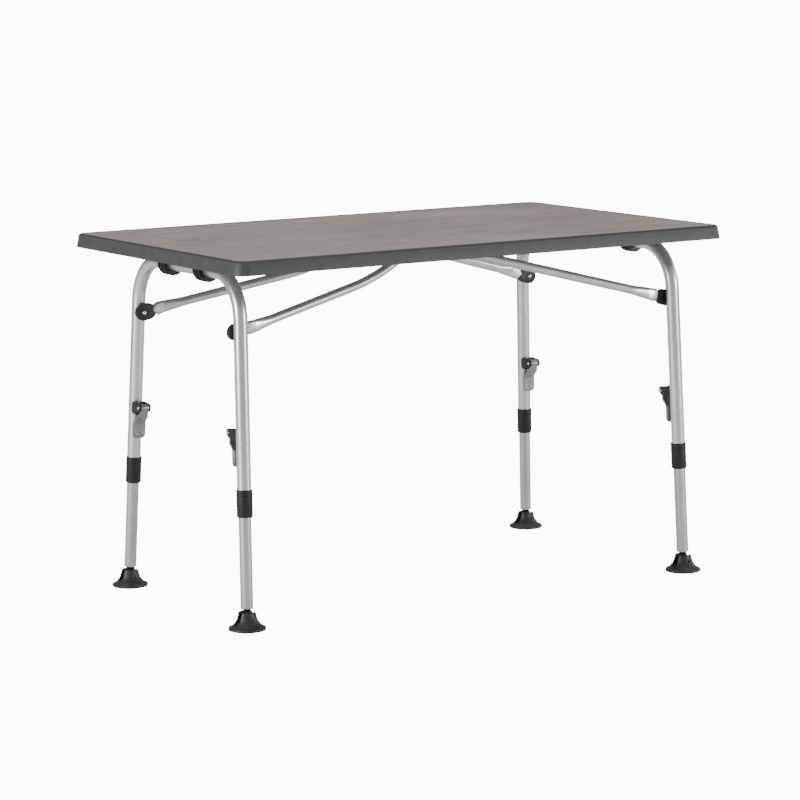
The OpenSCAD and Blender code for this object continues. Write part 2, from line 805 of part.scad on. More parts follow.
// A disc round the rivet, with a pocket for the tube's tip and a tongue in it
module yoke_knuckle(i, rear) {
    face = -knuckle_face(i);
    color([0.11, 0.11, 0.12])
        at_arm_end(i, rear) difference() {
            union() {
                difference() {
                    translate([0, face + knuckle_t, 0]) rotate([90, 0, 0])
                        linear_extrude(knuckle_t)
                            slot_2d(-knuckle_r, knuckle_r + 11, 2 * knuckle_r);
                    translate([flat_tip + flat_h / 2, 0, 0])
                        bar_y(face + 1.5, face + 2 * knuckle_t, flat_h / 2 + 0.2);
                    translate([flat_tip + flat_h / 2, face + 1.5, -flat_h / 2 - 0.2])
                        cube([flat_h, 2 * knuckle_t, flat_h + 0.4]);
                }
                translate([0, -flat_y(i), 0]) rotate([90, 0, 0])
                    linear_extrude(flat_t - 2 * yoke_wall - 0.6, center = true)
                        slot_2d(flat_tip - 12, flat_end - 1, flat_h - 2 * yoke_wall - 3);
            }
            bar_y(face - 1, face + knuckle_t + 1, rivet_r + pin_gap);
        }
}

// ---- Nodes ----

tabletop_panel();
edge_trim();
hinge_saddle(LEFT, FRONT);  // hinge_saddle_left_front
hinge_saddle(LEFT, REAR);  // hinge_saddle_left_rear
hinge_saddle(RIGHT, FRONT);  // hinge_saddle_right_front
hinge_saddle(RIGHT, REAR);  // hinge_saddle_right_rear
saddle_screws();
yoke_clip(LEFT, FRONT);  // yoke_clip_left_front
yoke_clip(LEFT, REAR);  // yoke_clip_left_rear
yoke_clip(RIGHT, FRONT);  // yoke_clip_right_front
yoke_clip(RIGHT, REAR);  // yoke_clip_right_rear
clip_screws();
leg_bow(LEFT);  // leg_bow_left
leg_bow(RIGHT);  // leg_bow_right
pivot_rivets(LEFT);  // pivot_rivets_left
pivot_rivets(RIGHT);  // pivot_rivets_right
collar(LEFT, FRONT);  // collar_left_front
collar(LEFT, REAR);  // collar_left_rear
collar(RIGHT, FRONT);  // collar_right_front
collar(RIGHT, REAR);  // collar_right_rear
clamp_base(LEFT, FRONT);  // clamp_base_left_front
clamp_base(LEFT, REAR);  // clamp_base_left_rear
clamp_base(RIGHT, FRONT);  // clamp_base_right_front
clamp_base(RIGHT, REAR);  // clamp_base_right_rear
base_rivets(LEFT);  // base_rivets_left
base_rivets(RIGHT);  // base_rivets_right
lever_pins(LEFT);  // lever_pins_left
lever_pins(RIGHT);  // lever_pins_right
clamp_lever(LEFT, FRONT);  // clamp_lever_left_front
clamp_lever(LEFT, REAR);  // clamp_lever_left_rear
clamp_lever(RIGHT, FRONT);  // clamp_lever_right_front
clamp_lever(RIGHT, REAR);  // clamp_lever_right_rear
clamp_plunger(LEFT, FRONT);  // clamp_plunger_left_front
clamp_plunger(LEFT, REAR);  // clamp_plunger_left_rear
clamp_plunger(RIGHT, FRONT);  // clamp_plunger_right_front
clamp_plunger(RIGHT, REAR);  // clamp_plunger_right_rear
inner_tube(LEFT, FRONT);  // inner_tube_left_front
inner_tube(LEFT, REAR);  // inner_tube_left_rear
inner_tube(RIGHT, FRONT);  // inner_tube_right_front
inner_tube(RIGHT, REAR);  // inner_tube_right_rear
foot_stem(LEFT, FRONT);  // foot_stem_left_front
foot_stem(LEFT, REAR);  // foot_stem_left_rear
foot_stem(RIGHT, FRONT);  // foot_stem_right_front
foot_stem(RIGHT, REAR);  // foot_stem_right_rear
foot(LEFT, FRONT);  // foot_left_front
foot(LEFT, REAR);  // foot_left_rear
foot(RIGHT, FRONT);  // foot_right_front
foot(RIGHT, REAR);  // foot_right_rear
foot_pin(LEFT, FRONT);  // foot_pin_left_front
foot_pin(LEFT, REAR);  // foot_pin_left_rear
foot_pin(RIGHT, FRONT);  // foot_pin_right_front
foot_pin(RIGHT, REAR);  // foot_pin_right_rear
yoke(LEFT);  // yoke_left
yoke(RIGHT);  // yoke_right
yoke_knuckle(LEFT, FRONT);  // yoke_knuckle_left_front
yoke_knuckle(LEFT, REAR);  // yoke_knuckle_left_rear
yoke_knuckle(RIGHT, FRONT);  // yoke_knuckle_right_front
yoke_knuckle(RIGHT, REAR);  // yoke_knuckle_right_rear
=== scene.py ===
"""Looks for a folding camping table, in metres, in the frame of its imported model."""

import json
import math
from contextlib import contextmanager

import bmesh
import bpy
from mathutils import Matrix, Vector


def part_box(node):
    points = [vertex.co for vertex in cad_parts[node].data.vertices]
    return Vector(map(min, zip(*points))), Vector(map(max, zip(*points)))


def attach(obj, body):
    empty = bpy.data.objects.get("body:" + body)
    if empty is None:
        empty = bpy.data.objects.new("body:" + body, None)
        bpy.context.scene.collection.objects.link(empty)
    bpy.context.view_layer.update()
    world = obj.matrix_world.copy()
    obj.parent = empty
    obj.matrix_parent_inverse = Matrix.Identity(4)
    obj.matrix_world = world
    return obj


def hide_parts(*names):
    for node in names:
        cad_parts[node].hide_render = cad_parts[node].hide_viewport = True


bl_info = {
    "name": "Folding Camping Table",
    "version": (1, 0, 0),
    "blender": (4, 5, 0),
    "location": "3D View > Sidebar > Camping Table",
    "description": "Models and finishes the pieces of a folding camping table",
    "category": "Object",
}

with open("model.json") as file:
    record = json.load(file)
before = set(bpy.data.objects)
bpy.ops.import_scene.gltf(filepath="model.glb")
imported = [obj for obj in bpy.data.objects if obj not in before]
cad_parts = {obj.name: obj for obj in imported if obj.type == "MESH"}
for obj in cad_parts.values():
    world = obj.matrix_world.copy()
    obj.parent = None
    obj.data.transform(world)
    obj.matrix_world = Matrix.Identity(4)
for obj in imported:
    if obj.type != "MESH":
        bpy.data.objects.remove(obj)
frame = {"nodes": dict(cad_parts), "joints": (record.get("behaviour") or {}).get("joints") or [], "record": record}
NODES = frame["nodes"]
JOINTS = {joint["name"]: joint for joint in frame["joints"]}
SIDES = ("left", "right")
ENDS = ("front", "rear")
LEGS = [(side, end) for side in SIDES for end in ENDS]

WELD = 0.00002  # points closer than this become one
SNUG = 0.00005  # play between a tube and the bore it sits in
HUB = 0.0075  # radius of a lever's hub
CAM = 0.0012  # how far the hub's cam stands off its pin
PIN = 0.0025  # radius of the levers' and the feet's pins
PIN_BORE = PIN + 0.0001
SWIVEL_HEIGHT = 0.022  # of the feet's pins over the floor
TUBE_WALL = 0.0012  # of the leg bows
YOKE_GAP = 0.0048  # from a knuckle's rim to the tip of its yoke's pressed end
PRESS_LENGTH = 0.045  # over which a yoke's tube turns from round to flat
KNUCKLE_SKIN = 0.0015  # under the pocket that takes a pressed end
CRIMP_HEIGHT = 0.041  # height of the inner tubes' lower ends over the floor
SCREW_REACH = 0.012  # points closer than this belong to the same screw
MIDDLE_AREA = 0.2  # a level face larger than this is the middle of the table top


def corners(node):
    low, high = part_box(node)
    return Vector(low), Vector(high)


def middle(node):
    low, high = corners(node)
    return (low + high) / 2


# Sizes


def length(name, default, description):
    return bpy.props.FloatProperty(
        name=name, description=description, default=default, unit="LENGTH")


def paint(name, default, description):
    return bpy.props.FloatVectorProperty(
        name=name, description=description, default=default, subtype="COLOR")


class TableTopSizes(bpy.types.PropertyGroup):
    corner: length("Corner radius", 0.028, "Plan radius of the trim's corners")
    flare: length("Flare", 0.005, "How far the trim leans out towards its lower edge")
    lip: length("Lip", 0.0045, "Width of the trim's lip over the board")
    board: length("Board", 0.020, "Thickness of the sandwich board")
    rise: length("Lip rise", 0.0012, "Height of the trim's lip over the board")
    light: paint("Light decor", (0.325, 0.271, 0.250), "Lighter colour of the laminate")
    dark: paint("Dark decor", (0.172, 0.141, 0.129), "Darker colour of the laminate")
    trim: paint("Trim", (0.053, 0.053, 0.055), "Colour of the edge trim")


class LegSizes(bpy.types.PropertyGroup):
    tube: length("Leg tube", 0.028, "Outside diameter of the leg tube")
    inner: length("Inner tube", 0.025, "Outside diameter of the inner leg tube")
    collar: length("Collar", 0.054, "Height of the collar")
    foot: length("Foot", 0.037, "Radius of a foot at the floor")
    lever: length("Lever", 0.066, "Length of a clamp lever from its pin")
    bend: length("Bend", 0.092, "Bend radius of the leg tubes at the table")
    half_left: length("Left half width", 0.206, "Half width of the left frame at its hinge")
    half_right: length("Right half width", 0.272, "Half width of the right frame at its hinge")
    long: length("Leg length", 0.462, "Length of the leg tube's straight legs")
    pin_off: length("Pin offset", 0.037, "Distance of a clamp's pin from the leg's axis")
    base: length("Clamp base", 0.025, "Width of a clamp's base")
    saddle: length("Saddle", 0.026, "Length of a hinge saddle along the tube")
    silver: paint("Silver", (0.66, 0.67, 0.67), "Colour of the leg tubes")
    black: paint("Black", (0.009, 0.009, 0.010), "Colour of the moulded fittings")


class YokeSizes(bpy.types.PropertyGroup):
    tube: length("Yoke tube", 0.019, "Outside diameter of the yoke tube")
    cross: length("Crossbar", 0.040, "Distance of each crossbar from the table's middle")
    half_left: length("Left half width", 0.100, "Half width of the left yoke at its crossbar")
    half_right: length("Right half width", 0.152, "Half width of the right yoke at its crossbar")
    bend: length("Bend", 0.040, "Bend radius at the crossbar's corners")
    rise: bpy.props.FloatProperty(
        name="Left rise", description="Rise of the left yoke's arms from the leg",
        default=math.radians(11.4), subtype="ANGLE")
    upturn: length("Upturn", 0.361, "Distance of the left yoke's upward bend from its pivot")
    upturn_bend: length("Upturn radius", 0.480, "Radius of the left yoke's upward bend")
    flat: length("Pressed end", 0.025, "Height of the pressed flat ends")
    thin: length("Pressed thickness", 0.009, "Thickness of the pressed flat ends")
    knuckle: length("Knuckle", 0.0165, "Radius of a knuckle round its rivet")
    thick: length("Knuckle thickness", 0.011, "Thickness of a knuckle")


# Modelling by operators


def rest_selection():
    if bpy.context.mode != "OBJECT":
        bpy.ops.object.mode_set(mode="OBJECT")
    bpy.ops.object.select_all(action="DESELECT")


def only(obj):
    rest_selection()
    obj.select_set(True)
    bpy.context.view_layer.objects.active = obj


def settle(obj):
    only(obj)
    bpy.ops.object.transform_apply(location=True, rotation=True, scale=True)


def begin(name, primitive, scale=(1, 1, 1), rotation=(0, 0, 0), **settings):
    """Adds a primitive, names it, and scales and turns it in the mesh itself."""
    rest_selection()
    primitive(**settings)
    obj = bpy.context.active_object
    obj.name = obj.data.name = name
    obj.scale, obj.rotation_euler = scale, rotation
    settle(obj)
    return obj


@contextmanager
def editing(obj, kind="FACE"):
    only(obj)
    bpy.ops.object.mode_set(mode="EDIT")
    bpy.ops.mesh.select_mode(type=kind)
    yield
    bpy.ops.object.mode_set(mode="OBJECT")


def pick(obj, test, kind="faces"):
    """Selects the faces, edges or vertices of the edited mesh that pass the test."""
    mesh = bmesh.from_edit_mesh(obj.data)
    bpy.ops.mesh.select_all(action="DESELECT")
    for part in getattr(mesh, kind):
        part.select_set(bool(test(part)))
    mesh.select_flush_mode()
    bmesh.update_edit_mesh(obj.data)


def edge_run(edge, axis):
    """How far an edge runs along X, Y or Z (0, 1 or 2)."""
    first, second = edge.verts
    return abs(first.co[axis] - second.co[axis])


def modify(obj, kind, **settings):
    only(obj)
    modifier = obj.modifiers.new(kind.title(), kind)
    for key, value in settings.items():
        setattr(modifier, key, value)
    bpy.ops.object.modifier_apply(modifier=modifier.name)


def cut(obj, cutter, operation="DIFFERENCE"):
    modify(obj, "BOOLEAN", object=cutter, operation=operation, solver="EXACT")
    drop(cutter)


def outward(obj):
    with editing(obj, "VERT"):
        bpy.ops.mesh.select_all(action="SELECT")
        bpy.ops.mesh.remove_doubles(threshold=WELD)
        bpy.ops.mesh.normals_make_consistent(inside=False)


def soften(obj, width, segments, limit):
    modify(obj, "BEVEL", width=width, segments=segments, limit_method="ANGLE",
           angle_limit=math.radians(limit), harden_normals=False)


def smooth(obj, angle):
    only(obj)
    bpy.ops.object.shade_smooth_by_angle(angle=math.radians(angle))


def extrude(shift):
    bpy.ops.mesh.extrude_region_move(TRANSFORM_OT_translate={"value": shift})


def extruded(obj, steps):
    """Extrudes the selected face by each step's shift and resizes it about its centre."""
    with editing(obj):
        for shift, scale, centre in steps:
            extrude(shift)
            bpy.ops.transform.resize(value=scale, center_override=centre)
    outward(obj)
    return obj


def turned(name, profile, segments):
    """A closed round shape: a disc extruded and resized along (radius, height) steps."""
    radius, height = profile[0]
    obj = begin(name, bpy.ops.mesh.primitive_circle_add, vertices=segments, radius=radius,
                fill_type="NGON", location=(0, 0, height))
    return extruded(obj, [((0, 0, z1 - z0), (r1 / r0, r1 / r0, 1), (0, 0, z1))
                          for (r0, z0), (r1, z1) in zip(profile, profile[1:])])


def lofted(name, sections):
    """A bar of level slices (x, y, z, width, depth), extruded from one to the next."""
    x, y, z, wide, deep = sections[0]
    obj = begin(name, bpy.ops.mesh.primitive_plane_add, (wide, deep, 1), size=1,
                location=(x, y, z))
    return extruded(obj, [
        ((x1 - x0, y1 - y0, z1 - z0), (w1 / w0, d1 / d0, 1), (x1, y1, z1))
        for (x0, y0, z0, w0, d0), (x1, y1, z1, w1, d1) in zip(sections, sections[1:])])


def block(name, low, high):
    return begin(name, bpy.ops.mesh.primitive_cube_add, [b - a for a, b in zip(low, high)],
                 size=1, location=[(a + b) / 2 for a, b in zip(low, high)])


def upright(direction):
    """The turn that takes Z to a direction."""
    return Vector(direction).to_track_quat("Z", "Y")


def bar(name, radius, start, end, segments=40):
    """A round bar between two points."""
    start, end = Vector(start), Vector(end)
    return begin(name, bpy.ops.mesh.primitive_cylinder_add,
                 rotation=upright(end - start).to_euler(), vertices=segments, radius=radius,
                 depth=(end - start).length, location=(start + end) / 2)


def arc(x, y, radius, start, end, steps):
    """Points on an arc, from one angle to another in degrees."""
    angles = [math.radians(start + (end - start) * k / steps) for k in range(steps + 1)]
    return [(x + radius * math.cos(a), y + radius * math.sin(a)) for a in angles]


def plate(name, outline, low, high, axis="Y"):
    """A plate of any outline: a disc whose rim is set to the outline, then extruded.

    The outline is in (x, z) for a plate across Y, and in (y, z) for one across X."""
    obj = begin(name, bpy.ops.mesh.primitive_circle_add, vertices=len(outline), radius=0.01,
                fill_type="NGON")
    with editing(obj):
        mesh = bmesh.from_edit_mesh(obj.data)
        for vert, (a, b) in zip(mesh.verts, outline):
            vert.co = (a, low, b) if axis == "Y" else (low, a, b)
        bmesh.update_edit_mesh(obj.data)
        bpy.ops.mesh.select_all(action="SELECT")
        extrude((0, high - low, 0) if axis == "Y" else (high - low, 0, 0))
    outward(obj)
    return obj


def bent_tube(name, radius, points, bends, ring, steps):
    """The skin of a round bar: a ring extruded along straight runs and spun round bends."""
    points = [Vector(point) for point in points]
    ahead = (points[1] - points[0]).normalized()
    obj = begin(name, bpy.ops.mesh.primitive_circle_add, rotation=upright(ahead).to_euler(),
                vertices=ring, radius=radius, fill_type="NOTHING", location=points[0])
    with editing(obj, "VERT"):
        bpy.ops.mesh.select_all(action="SELECT")
        here = points[0]
        for before, corner, after, bend in zip(points, points[1:], points[2:], bends):
            ahead, onward = (corner - before).normalized(), (after - corner).normalized()
            turn = ahead.angle(onward)
            back = bend * math.tan(turn / 2)
            axis = ahead.cross(onward).normalized()
            start = corner - ahead * back
            extrude(start - here)
            bpy.ops.mesh.spin(steps=steps, angle=-turn, axis=axis,
                              center=start + axis.cross(ahead) * bend)
            here = corner + onward * back
        extrude(points[-1] - here)
    outward(obj)
    return obj


def rod(name, profile, start, ahead, ring=40):
    """A turned piece of (radius, distance) steps that starts at a point and runs ahead."""
    obj = turned(name, profile, ring)
    obj.matrix_world = Matrix.Translation(start) @ upright(ahead).to_matrix().to_4x4()
    settle(obj)
    return obj


def rounded_sheet(name, wide, deep, radius, height, segments=14):
    """A level face with rounded corners."""
    obj = begin(name, bpy.ops.mesh.primitive_plane_add, (wide, deep, 1), size=1,
                location=(0, 0, height))
    with editing(obj, "VERT"):
        bpy.ops.mesh.select_all(action="SELECT")
        bpy.ops.mesh.bevel(affect="VERTICES", offset=radius, segments=segments)
    return obj


def inset_steps(obj, steps):
    """Insets the whole of a sheet again and again, each step (inwards, upwards)."""
    with editing(obj):
        bpy.ops.mesh.select_all(action="SELECT")
        for inwards, upwards in steps:
            bpy.ops.mesh.inset(thickness=inwards, depth=upwards, use_even_offset=True)


def open_middle(obj):
    """Deletes the large level face that the last inset leaves."""
    with editing(obj):
        pick(obj, lambda face: face.calc_area() > MIDDLE_AREA)
        bpy.ops.mesh.delete(type="FACE")


def eased(share):
    """A share from 0 to 1 that starts and ends gently."""
    return share * share * (3 - 2 * share)


def joined(name, pieces):
    rest_selection()
    for piece in pieces:
        piece.select_set(True)
    bpy.context.view_layer.objects.active = pieces[0]
    bpy.ops.object.join()
    pieces[0].name = pieces[0].data.name = name
    return pieces[0]


def pair(name, shape, side, place):
    """Joins a copy at each end of one side."""
    return joined(name, [placed_copy(shape, "one", place(side, end)) for end in ENDS])


def placed_copy(obj, name, matrix):
    """A copy with its own mesh, moved there in the mesh itself."""
    twin = obj.copy()
    twin.data = obj.data.copy()
    twin.name = twin.data.name = name
    bpy.context.scene.collection.objects.link(twin)
    twin.data.transform(matrix)
    if matrix.determinant() < 0:
        twin.data.flip_normals()
    return twin


def drop(obj):
    bpy.data.objects.remove(obj, do_unlink=True)


def hand_over(obj, body, slot_name, *nodes):
    """Gives a finished piece the finish of its slot and hangs it on its body, and hides the CAD nodes that it
    stands in for.
    """
    obj.data.materials.clear()
    obj.data.materials.append(finish(slot_name))
    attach(obj, body)
    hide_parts(*nodes)


def at_each_leg(*kinds):
    """Hands over a copy of each shape at all four legs, and drops the shapes.

    Each kind is (shape, name, CAD node, body, slot, place): the name and the node are
    followed by the leg's side and end, and the place is a function of those two."""
    for side, end in LEGS:
        leg = f"{side}_{end}"
        for shape, name, node, body, slot_name, place in kinds:
            piece = placed_copy(shape, f"{name}_{leg}", place(side, end))
            hand_over(piece, body.format(side=side, leg=leg), slot_name, f"{node}_{leg}")
    for kind in kinds:
        drop(kind[0])


# Places, read from the model's own joints


def leg_place(side, end):
    """The clamp's pin: X along the pin, Y towards the table's middle, Z up the leg."""
    up = Vector(JOINTS[f"leg_slide_{side}_{end}"]["axis"])
    inward = Vector(JOINTS[f"plunger_slide_{side}_{end}"]["axis"])
    across = inward.cross(up)
    place = Matrix((across, inward, up)).transposed().to_4x4()
    place.translation = joint_place(f"lever_swing_{side}_{end}")
    return place


def joint_place(name):
    return Vector(JOINTS[name]["pos_m"])


def turns(side, end):
    """Signs that turn the left front's X and Y towards the middle of the table."""
    return (1 if side == "left" else -1), (1 if end == "front" else -1)


def arm_rise(side):
    sizes = bpy.context.scene.yoke_sizes
    if side == "left":
        return sizes.rise
    pivot = joint_place(f"yoke_swing_{side}")
    return math.atan2(crossbar_height() - pivot.z, abs(pivot.x) - sizes.cross)


def crossbar_height():
    return corners("yoke_left")[1].z - bpy.context.scene.yoke_sizes.tube / 2


def arm_place(side, end):
    """A yoke's pivot: X along the arm towards the middle, Y inwards from the leg."""
    x_turn, y_turn = turns(side, end)
    rise = arm_rise(side)
    place = Matrix(((x_turn * math.cos(rise), 0, math.sin(rise)), (0, y_turn, 0),
                    (-x_turn * math.sin(rise), 0, math.cos(rise)))).transposed().to_4x4()
    pivot = joint_place(f"yoke_swing_{side}")
    place.translation = (pivot.x, 0, pivot.z)
    return place


def knuckle_face(side):
    """Distance of the knuckles' outer faces from the table's long middle line."""
    return corners(f"yoke_knuckle_{side}_rear")[1].y


def stem_place(side, end):
    """The inner tube's lower end, with Z up the leg."""
    place = leg_place(side, end)
    pin = foot_pin(side, end)
    up = place.to_3x3() @ Vector((0, 0, 1))
    place.translation = pin + up * ((CRIMP_HEIGHT - pin.z) / up.z)
    return place


def collar_place(side, end):
    place = leg_place(side, end)
    place.translation = middle(f"collar_{side}_{end}")
    return place


def foot_pin(side, end):
    """The middle of a foot's swivel pin."""
    pin = joint_place(f"foot_swivel_{side}_{end}")
    pin.y = middle(f"foot_{side}_{end}").y
    return pin


def foot_pin_place(side, end):
    return Matrix.Translation(foot_pin(side, end))


def foot_place(side, end):
    pin = foot_pin(side, end)
    return Matrix.Translation((pin.x, pin.y, 0))


# Shader maths


class Wire:
    """A socket that can be used in Python expressions on values."""

    def __init__(self, shop, socket):
        self.shop, self.socket = shop, socket

    def _with(self, operation, *values):
        return self.shop.add("ShaderNodeMath", {"operation": operation}, *values)

    def __add__(self, other):
        return self._with("ADD", self, other)

    def __sub__(self, other):
        return self._with("SUBTRACT", self, other)

    def __mul__(self, other):
        return self._with("MULTIPLY", self, other)

    __radd__ = __add__
    __rmul__ = __mul__

    def __rsub__(self, other):
        return self._with("SUBTRACT", other, self)

    def __lt__(self, other):
        return self._with("LESS_THAN", self, other)

    def __gt__(self, other):
        return self._with("GREATER_THAN", self, other)

    def clamped(self):
        return self.shop.add("ShaderNodeClamp", {}, self)

    def span(self, low, high):
        """0 below the low value, 1 above the high one."""
        return self.shop.add("ShaderNodeMapRange", {"clamp": True}, self, low, high)


class Finish:
    """A material under construction."""

    def __init__(self, name, **fixed):
        self.material = bpy.data.materials.new(name)
        self.material.use_nodes = True
        self.tree = self.material.node_tree
        self.shader = self.tree.nodes["Principled BSDF"]
        for socket, value in fixed.items():
            self.shader.inputs[socket.replace("_", " ")].default_value = value
        self.place = self.add("ShaderNodeTexCoord", {}, out="Object")

    def join(self, value, socket):
        if isinstance(value, Wire):
            self.tree.links.new(value.socket, socket)
        else:
            socket.default_value = value

    def add(self, kind, settings, *values, out=0, **named):
        """Adds a node, its settings first and then its sockets."""
        node = self.tree.nodes.new(kind)
        for key, value in settings.items():
            setattr(node, key, value)
        pairs = list(enumerate(values)) + [(k.replace("_", " "), v) for k, v in named.items()]
        for key, value in pairs:
            self.join(value, node.inputs[key])
        return Wire(self, node.outputs[out])

    def stretched(self, x, y, z):
        return self.add("ShaderNodeMapping", {}, Vector=self.place, Scale=(x, y, z))

    def noise(self, where, scale, detail, roughness):
        return self.add("ShaderNodeTexNoise", {}, Vector=where, Scale=scale, Detail=detail,
                        Roughness=roughness, out="Fac")

    def axis(self, name):
        return self.add("ShaderNodeSeparateXYZ", {}, self.place, out=name)

    def blend(self, factor, first, second):
        node = self.tree.nodes.new("ShaderNodeMix")
        node.data_type = "RGBA"
        for socket, value in (("Factor_Float", factor), ("A_Color", first), ("B_Color", second)):
            self.join(value, next(s for s in node.inputs if s.identifier == socket))
        return Wire(self, next(s for s in node.outputs if s.identifier == "Result_Color"))

    def wire(self, socket, value):
        """Feeds a socket of the material's own shader."""
        self.tree.links.new(value.socket, self.shader.inputs[socket])

    def bump(self, height, strength, distance):
        self.wire("Normal", self.add("ShaderNodeBump", {}, Height=height, Strength=strength,
                                     Distance=distance, out="Normal"))

    def worn_edges(self, tight=0.0006):
        """1 along the edges of a piece, 0 on its faces."""
        bevel = self.add("ShaderNodeBevel", {"samples": 4}, Radius=tight, out="Normal")
        flat = self.add("ShaderNodeNewGeometry", {}, out="Normal")
        dot = self.add("ShaderNodeVectorMath", {"operation": "DOT_PRODUCT"}, bevel, flat,
                       out="Value")
        return (1 - dot).span(0.01, 0.2)


def rgba(colour, scale=1.0):
    return (colour[0] * scale, colour[1] * scale, colour[2] * scale, 1.0)


def laminate(sizes):
    """Grey-brown decor with fine streaks along the table and soft clouds."""
    f = Finish("laminate_decor", Specular_IOR_Level=0.4)
    clouds = f.noise(f.stretched(1.3, 2.6, 1), 2.2, 4.0, 0.55)
    patches = f.noise(f.stretched(1.0, 1.7, 1), 11.0, 5.0, 0.6)
    streaks = f.noise(f.stretched(2.0, 60, 1), 3.0, 6.0, 0.65)
    fine = f.noise(f.stretched(9, 420, 1), 3.0, 3.0, 0.6)
    specks = f.noise(f.place, 900, 2.0, 0.5)
    tone = (clouds * 0.30 + patches * 0.26 + streaks * 0.28 + fine * 0.10
            + specks * 0.06).span(0.40, 0.60)
    top = f.blend(tone, rgba(sizes.dark), rgba(sizes.light))
    board_low = corners("tabletop_panel")[0].z
    under = f.axis("Z") < board_low + 0.001
    f.wire("Base Color", f.blend(under, top, (0.16, 0.16, 0.16, 1)))
    f.wire("Roughness", 0.50 + streaks * 0.12 - specks * 0.06)
    f.bump(streaks * 0.5 + fine * 0.3 + specks * 0.4, 0.12, 0.0002)
    return f.material


def moulded(name, colour, grain, rough, sheen=0.5, lip=None):
    """Moulded plastic with a fine spark-eroded grain and slightly pale edges.

    Above the height of a lip, where one is given, the plastic is darker and browner: painted shade along the lip."""
    f = Finish(name, Specular_IOR_Level=sheen)
    grit = f.noise(f.place, grain, 3.0, 0.6)
    drift = f.noise(f.place, 38, 3.0, 0.5)
    edges = f.worn_edges()
    tone = (drift.span(0.3, 0.7) * 0.3 + edges * 0.5 + (grit - 0.5) * 0.25).clamped()
    paint = f.blend(tone, rgba(colour, 0.86), rgba(colour, 1.6))
    # Painted shade: above the lip's height the colour is darkened and browned to stand for the shade along the
    # trim's lip.
    if lip:
        painted_lip_shade = f.axis("Z").span(lip - 0.0006, lip + 0.0006)
        paint = f.blend(painted_lip_shade, paint, (colour[0] * 0.50, colour[1] * 0.44, colour[2] * 0.40, 1))
    f.wire("Base Color", paint)
    f.wire("Roughness", (rough + (grit - 0.5) * 0.18 + drift * 0.06 - edges * 0.06).clamped())
    f.bump(grit, 0.22, 0.00015)
    return f.material


def satin_metal(name, colour, grain=0.12):
    """Coated or drawn tube: fine lines along its length, a few faint marks."""
    f = Finish(name, Metallic=0.90, Coat_Weight=0.12, Coat_Roughness=0.25)
    lines = f.noise(f.stretched(1, 1, 0.02), 2400, 2.0, 0.5)
    drift = f.noise(f.place, 26, 4.0, 0.55)
    marks = f.noise(f.stretched(1, 1, 0.3), 260, 2.0, 0.7).span(0.66, 0.74)
    tone = ((lines - 0.5) * grain + drift.span(0.3, 0.7) * 0.5 + 0.3 - marks * 0.2).clamped()
    f.wire("Base Color", f.blend(tone, rgba(colour, 0.90), rgba(colour, 1.06)))
    f.wire("Roughness", (0.30 + (lines - 0.5) * grain + (drift - 0.5) * 0.10
                         + marks * 0.08).clamped())
    f.bump(lines, 0.05, 0.0001)
    return f.material


def plated_steel(name, colour, rough=0.26):
    """Bright plated steel with small scratches."""
    f = Finish(name, Metallic=1.0)
    scratches = f.noise(f.stretched(1, 6, 1), 1500, 2.0, 0.6)
    bloom = f.noise(f.place, 160, 3.0, 0.6)
    f.wire("Base Color", f.blend(bloom.span(0.35, 0.65), rgba(colour, 0.86), rgba(colour)))
    f.wire("Roughness", (rough + scratches * 0.12 + bloom * 0.1).clamped())
    f.bump(scratches, 0.08, 0.0001)
    return f.material


def cast_metal(name, colour):
    """Die-cast lever: a faintly pebbled silver coat, worn bright at its edges."""
    f = Finish(name, Metallic=0.75, Coat_Weight=0.1, Coat_Roughness=0.3)
    pebbles = f.noise(f.place, 700, 3.0, 0.55)
    drift = f.noise(f.place, 60, 3.0, 0.5)
    edges = f.worn_edges(0.0008)
    tone = (drift.span(0.3, 0.7) * 0.5 + edges * 0.5).clamped()
    f.wire("Base Color", f.blend(tone, rgba(colour, 0.80), rgba(colour, 1.15)))
    f.wire("Roughness", (0.40 + (pebbles - 0.5) * 0.2 - edges * 0.10).clamped())
    f.bump(pebbles, 0.18, 0.0002)
    return f.material


FINISHES = {}


def finish(name):
    """A finish by its name in the record's material slots, made once."""
    if name not in FINISHES:
        top = bpy.context.scene.table_top_sizes
        legs = bpy.context.scene.leg_sizes
        makers = {
            "laminate_board": lambda: laminate(top),
            # The trim's plastic gets painted shade above the height of its lip.
            "trim_plastic": lambda: moulded(
                name, top.trim, 1300, 0.50, 0.45, corners("edge_trim")[1].z - 0.0028),
            "black_plastic": lambda: moulded(name, legs.black, 1800, 0.42, 0.40),
            "foot_plastic": lambda: moulded(name, (0.022, 0.022, 0.024), 1500, 0.44, 0.42),
            "plunger_plastic": lambda: moulded(name, (0.55, 0.55, 0.52), 1500, 0.5),
            "silver_tube": lambda: satin_metal(name, legs.silver),
            "inner_aluminium": lambda: satin_metal(name, (0.56, 0.57, 0.57), 0.18),
            "lever_metal": lambda: cast_metal(name, (0.33, 0.34, 0.34)),
            "bright_steel": lambda: plated_steel(name, (0.78, 0.79, 0.80)),
            "zinc_steel": lambda: plated_steel(name, (0.68, 0.69, 0.71), 0.34),
        }
        FINISHES[name] = makers[name]()
    return FINISHES[name]


# Operators


FLOOR_WIDTH, FLOOR_HEIGHT = 60, -0.0002
SOFT_LIGHT = 0.48  # the world's light on the table
WHITE_WORLD, WHITE_FLOOR = 12.0, 13.0  # what the camera sees of them, for a white ground
LAMPS = (  # name, place, size and power
    ("left", (-4.6, -0.3, 1.3), 1.5, 150),
    ("front", (3.1, -4.3, 1.2), 1.2, 120),
    ("right", (4.4, -0.6, 1.6), 1.2, 30),
    ("top", (0.4, 0.6, 4.2), 3.2, 85),
)
LAMP_AIM = Vector((0, 0, 0.4))
CAMERA_PLACE = (-3.4025, -5.4127, 1.3643)
CAMERA_TURNS = (-32.138, 8.811, -0.618)  # about Z, up and down, and about the view
FOCAL_PIXELS, PHOTO_PIXELS = 3116.2, 800


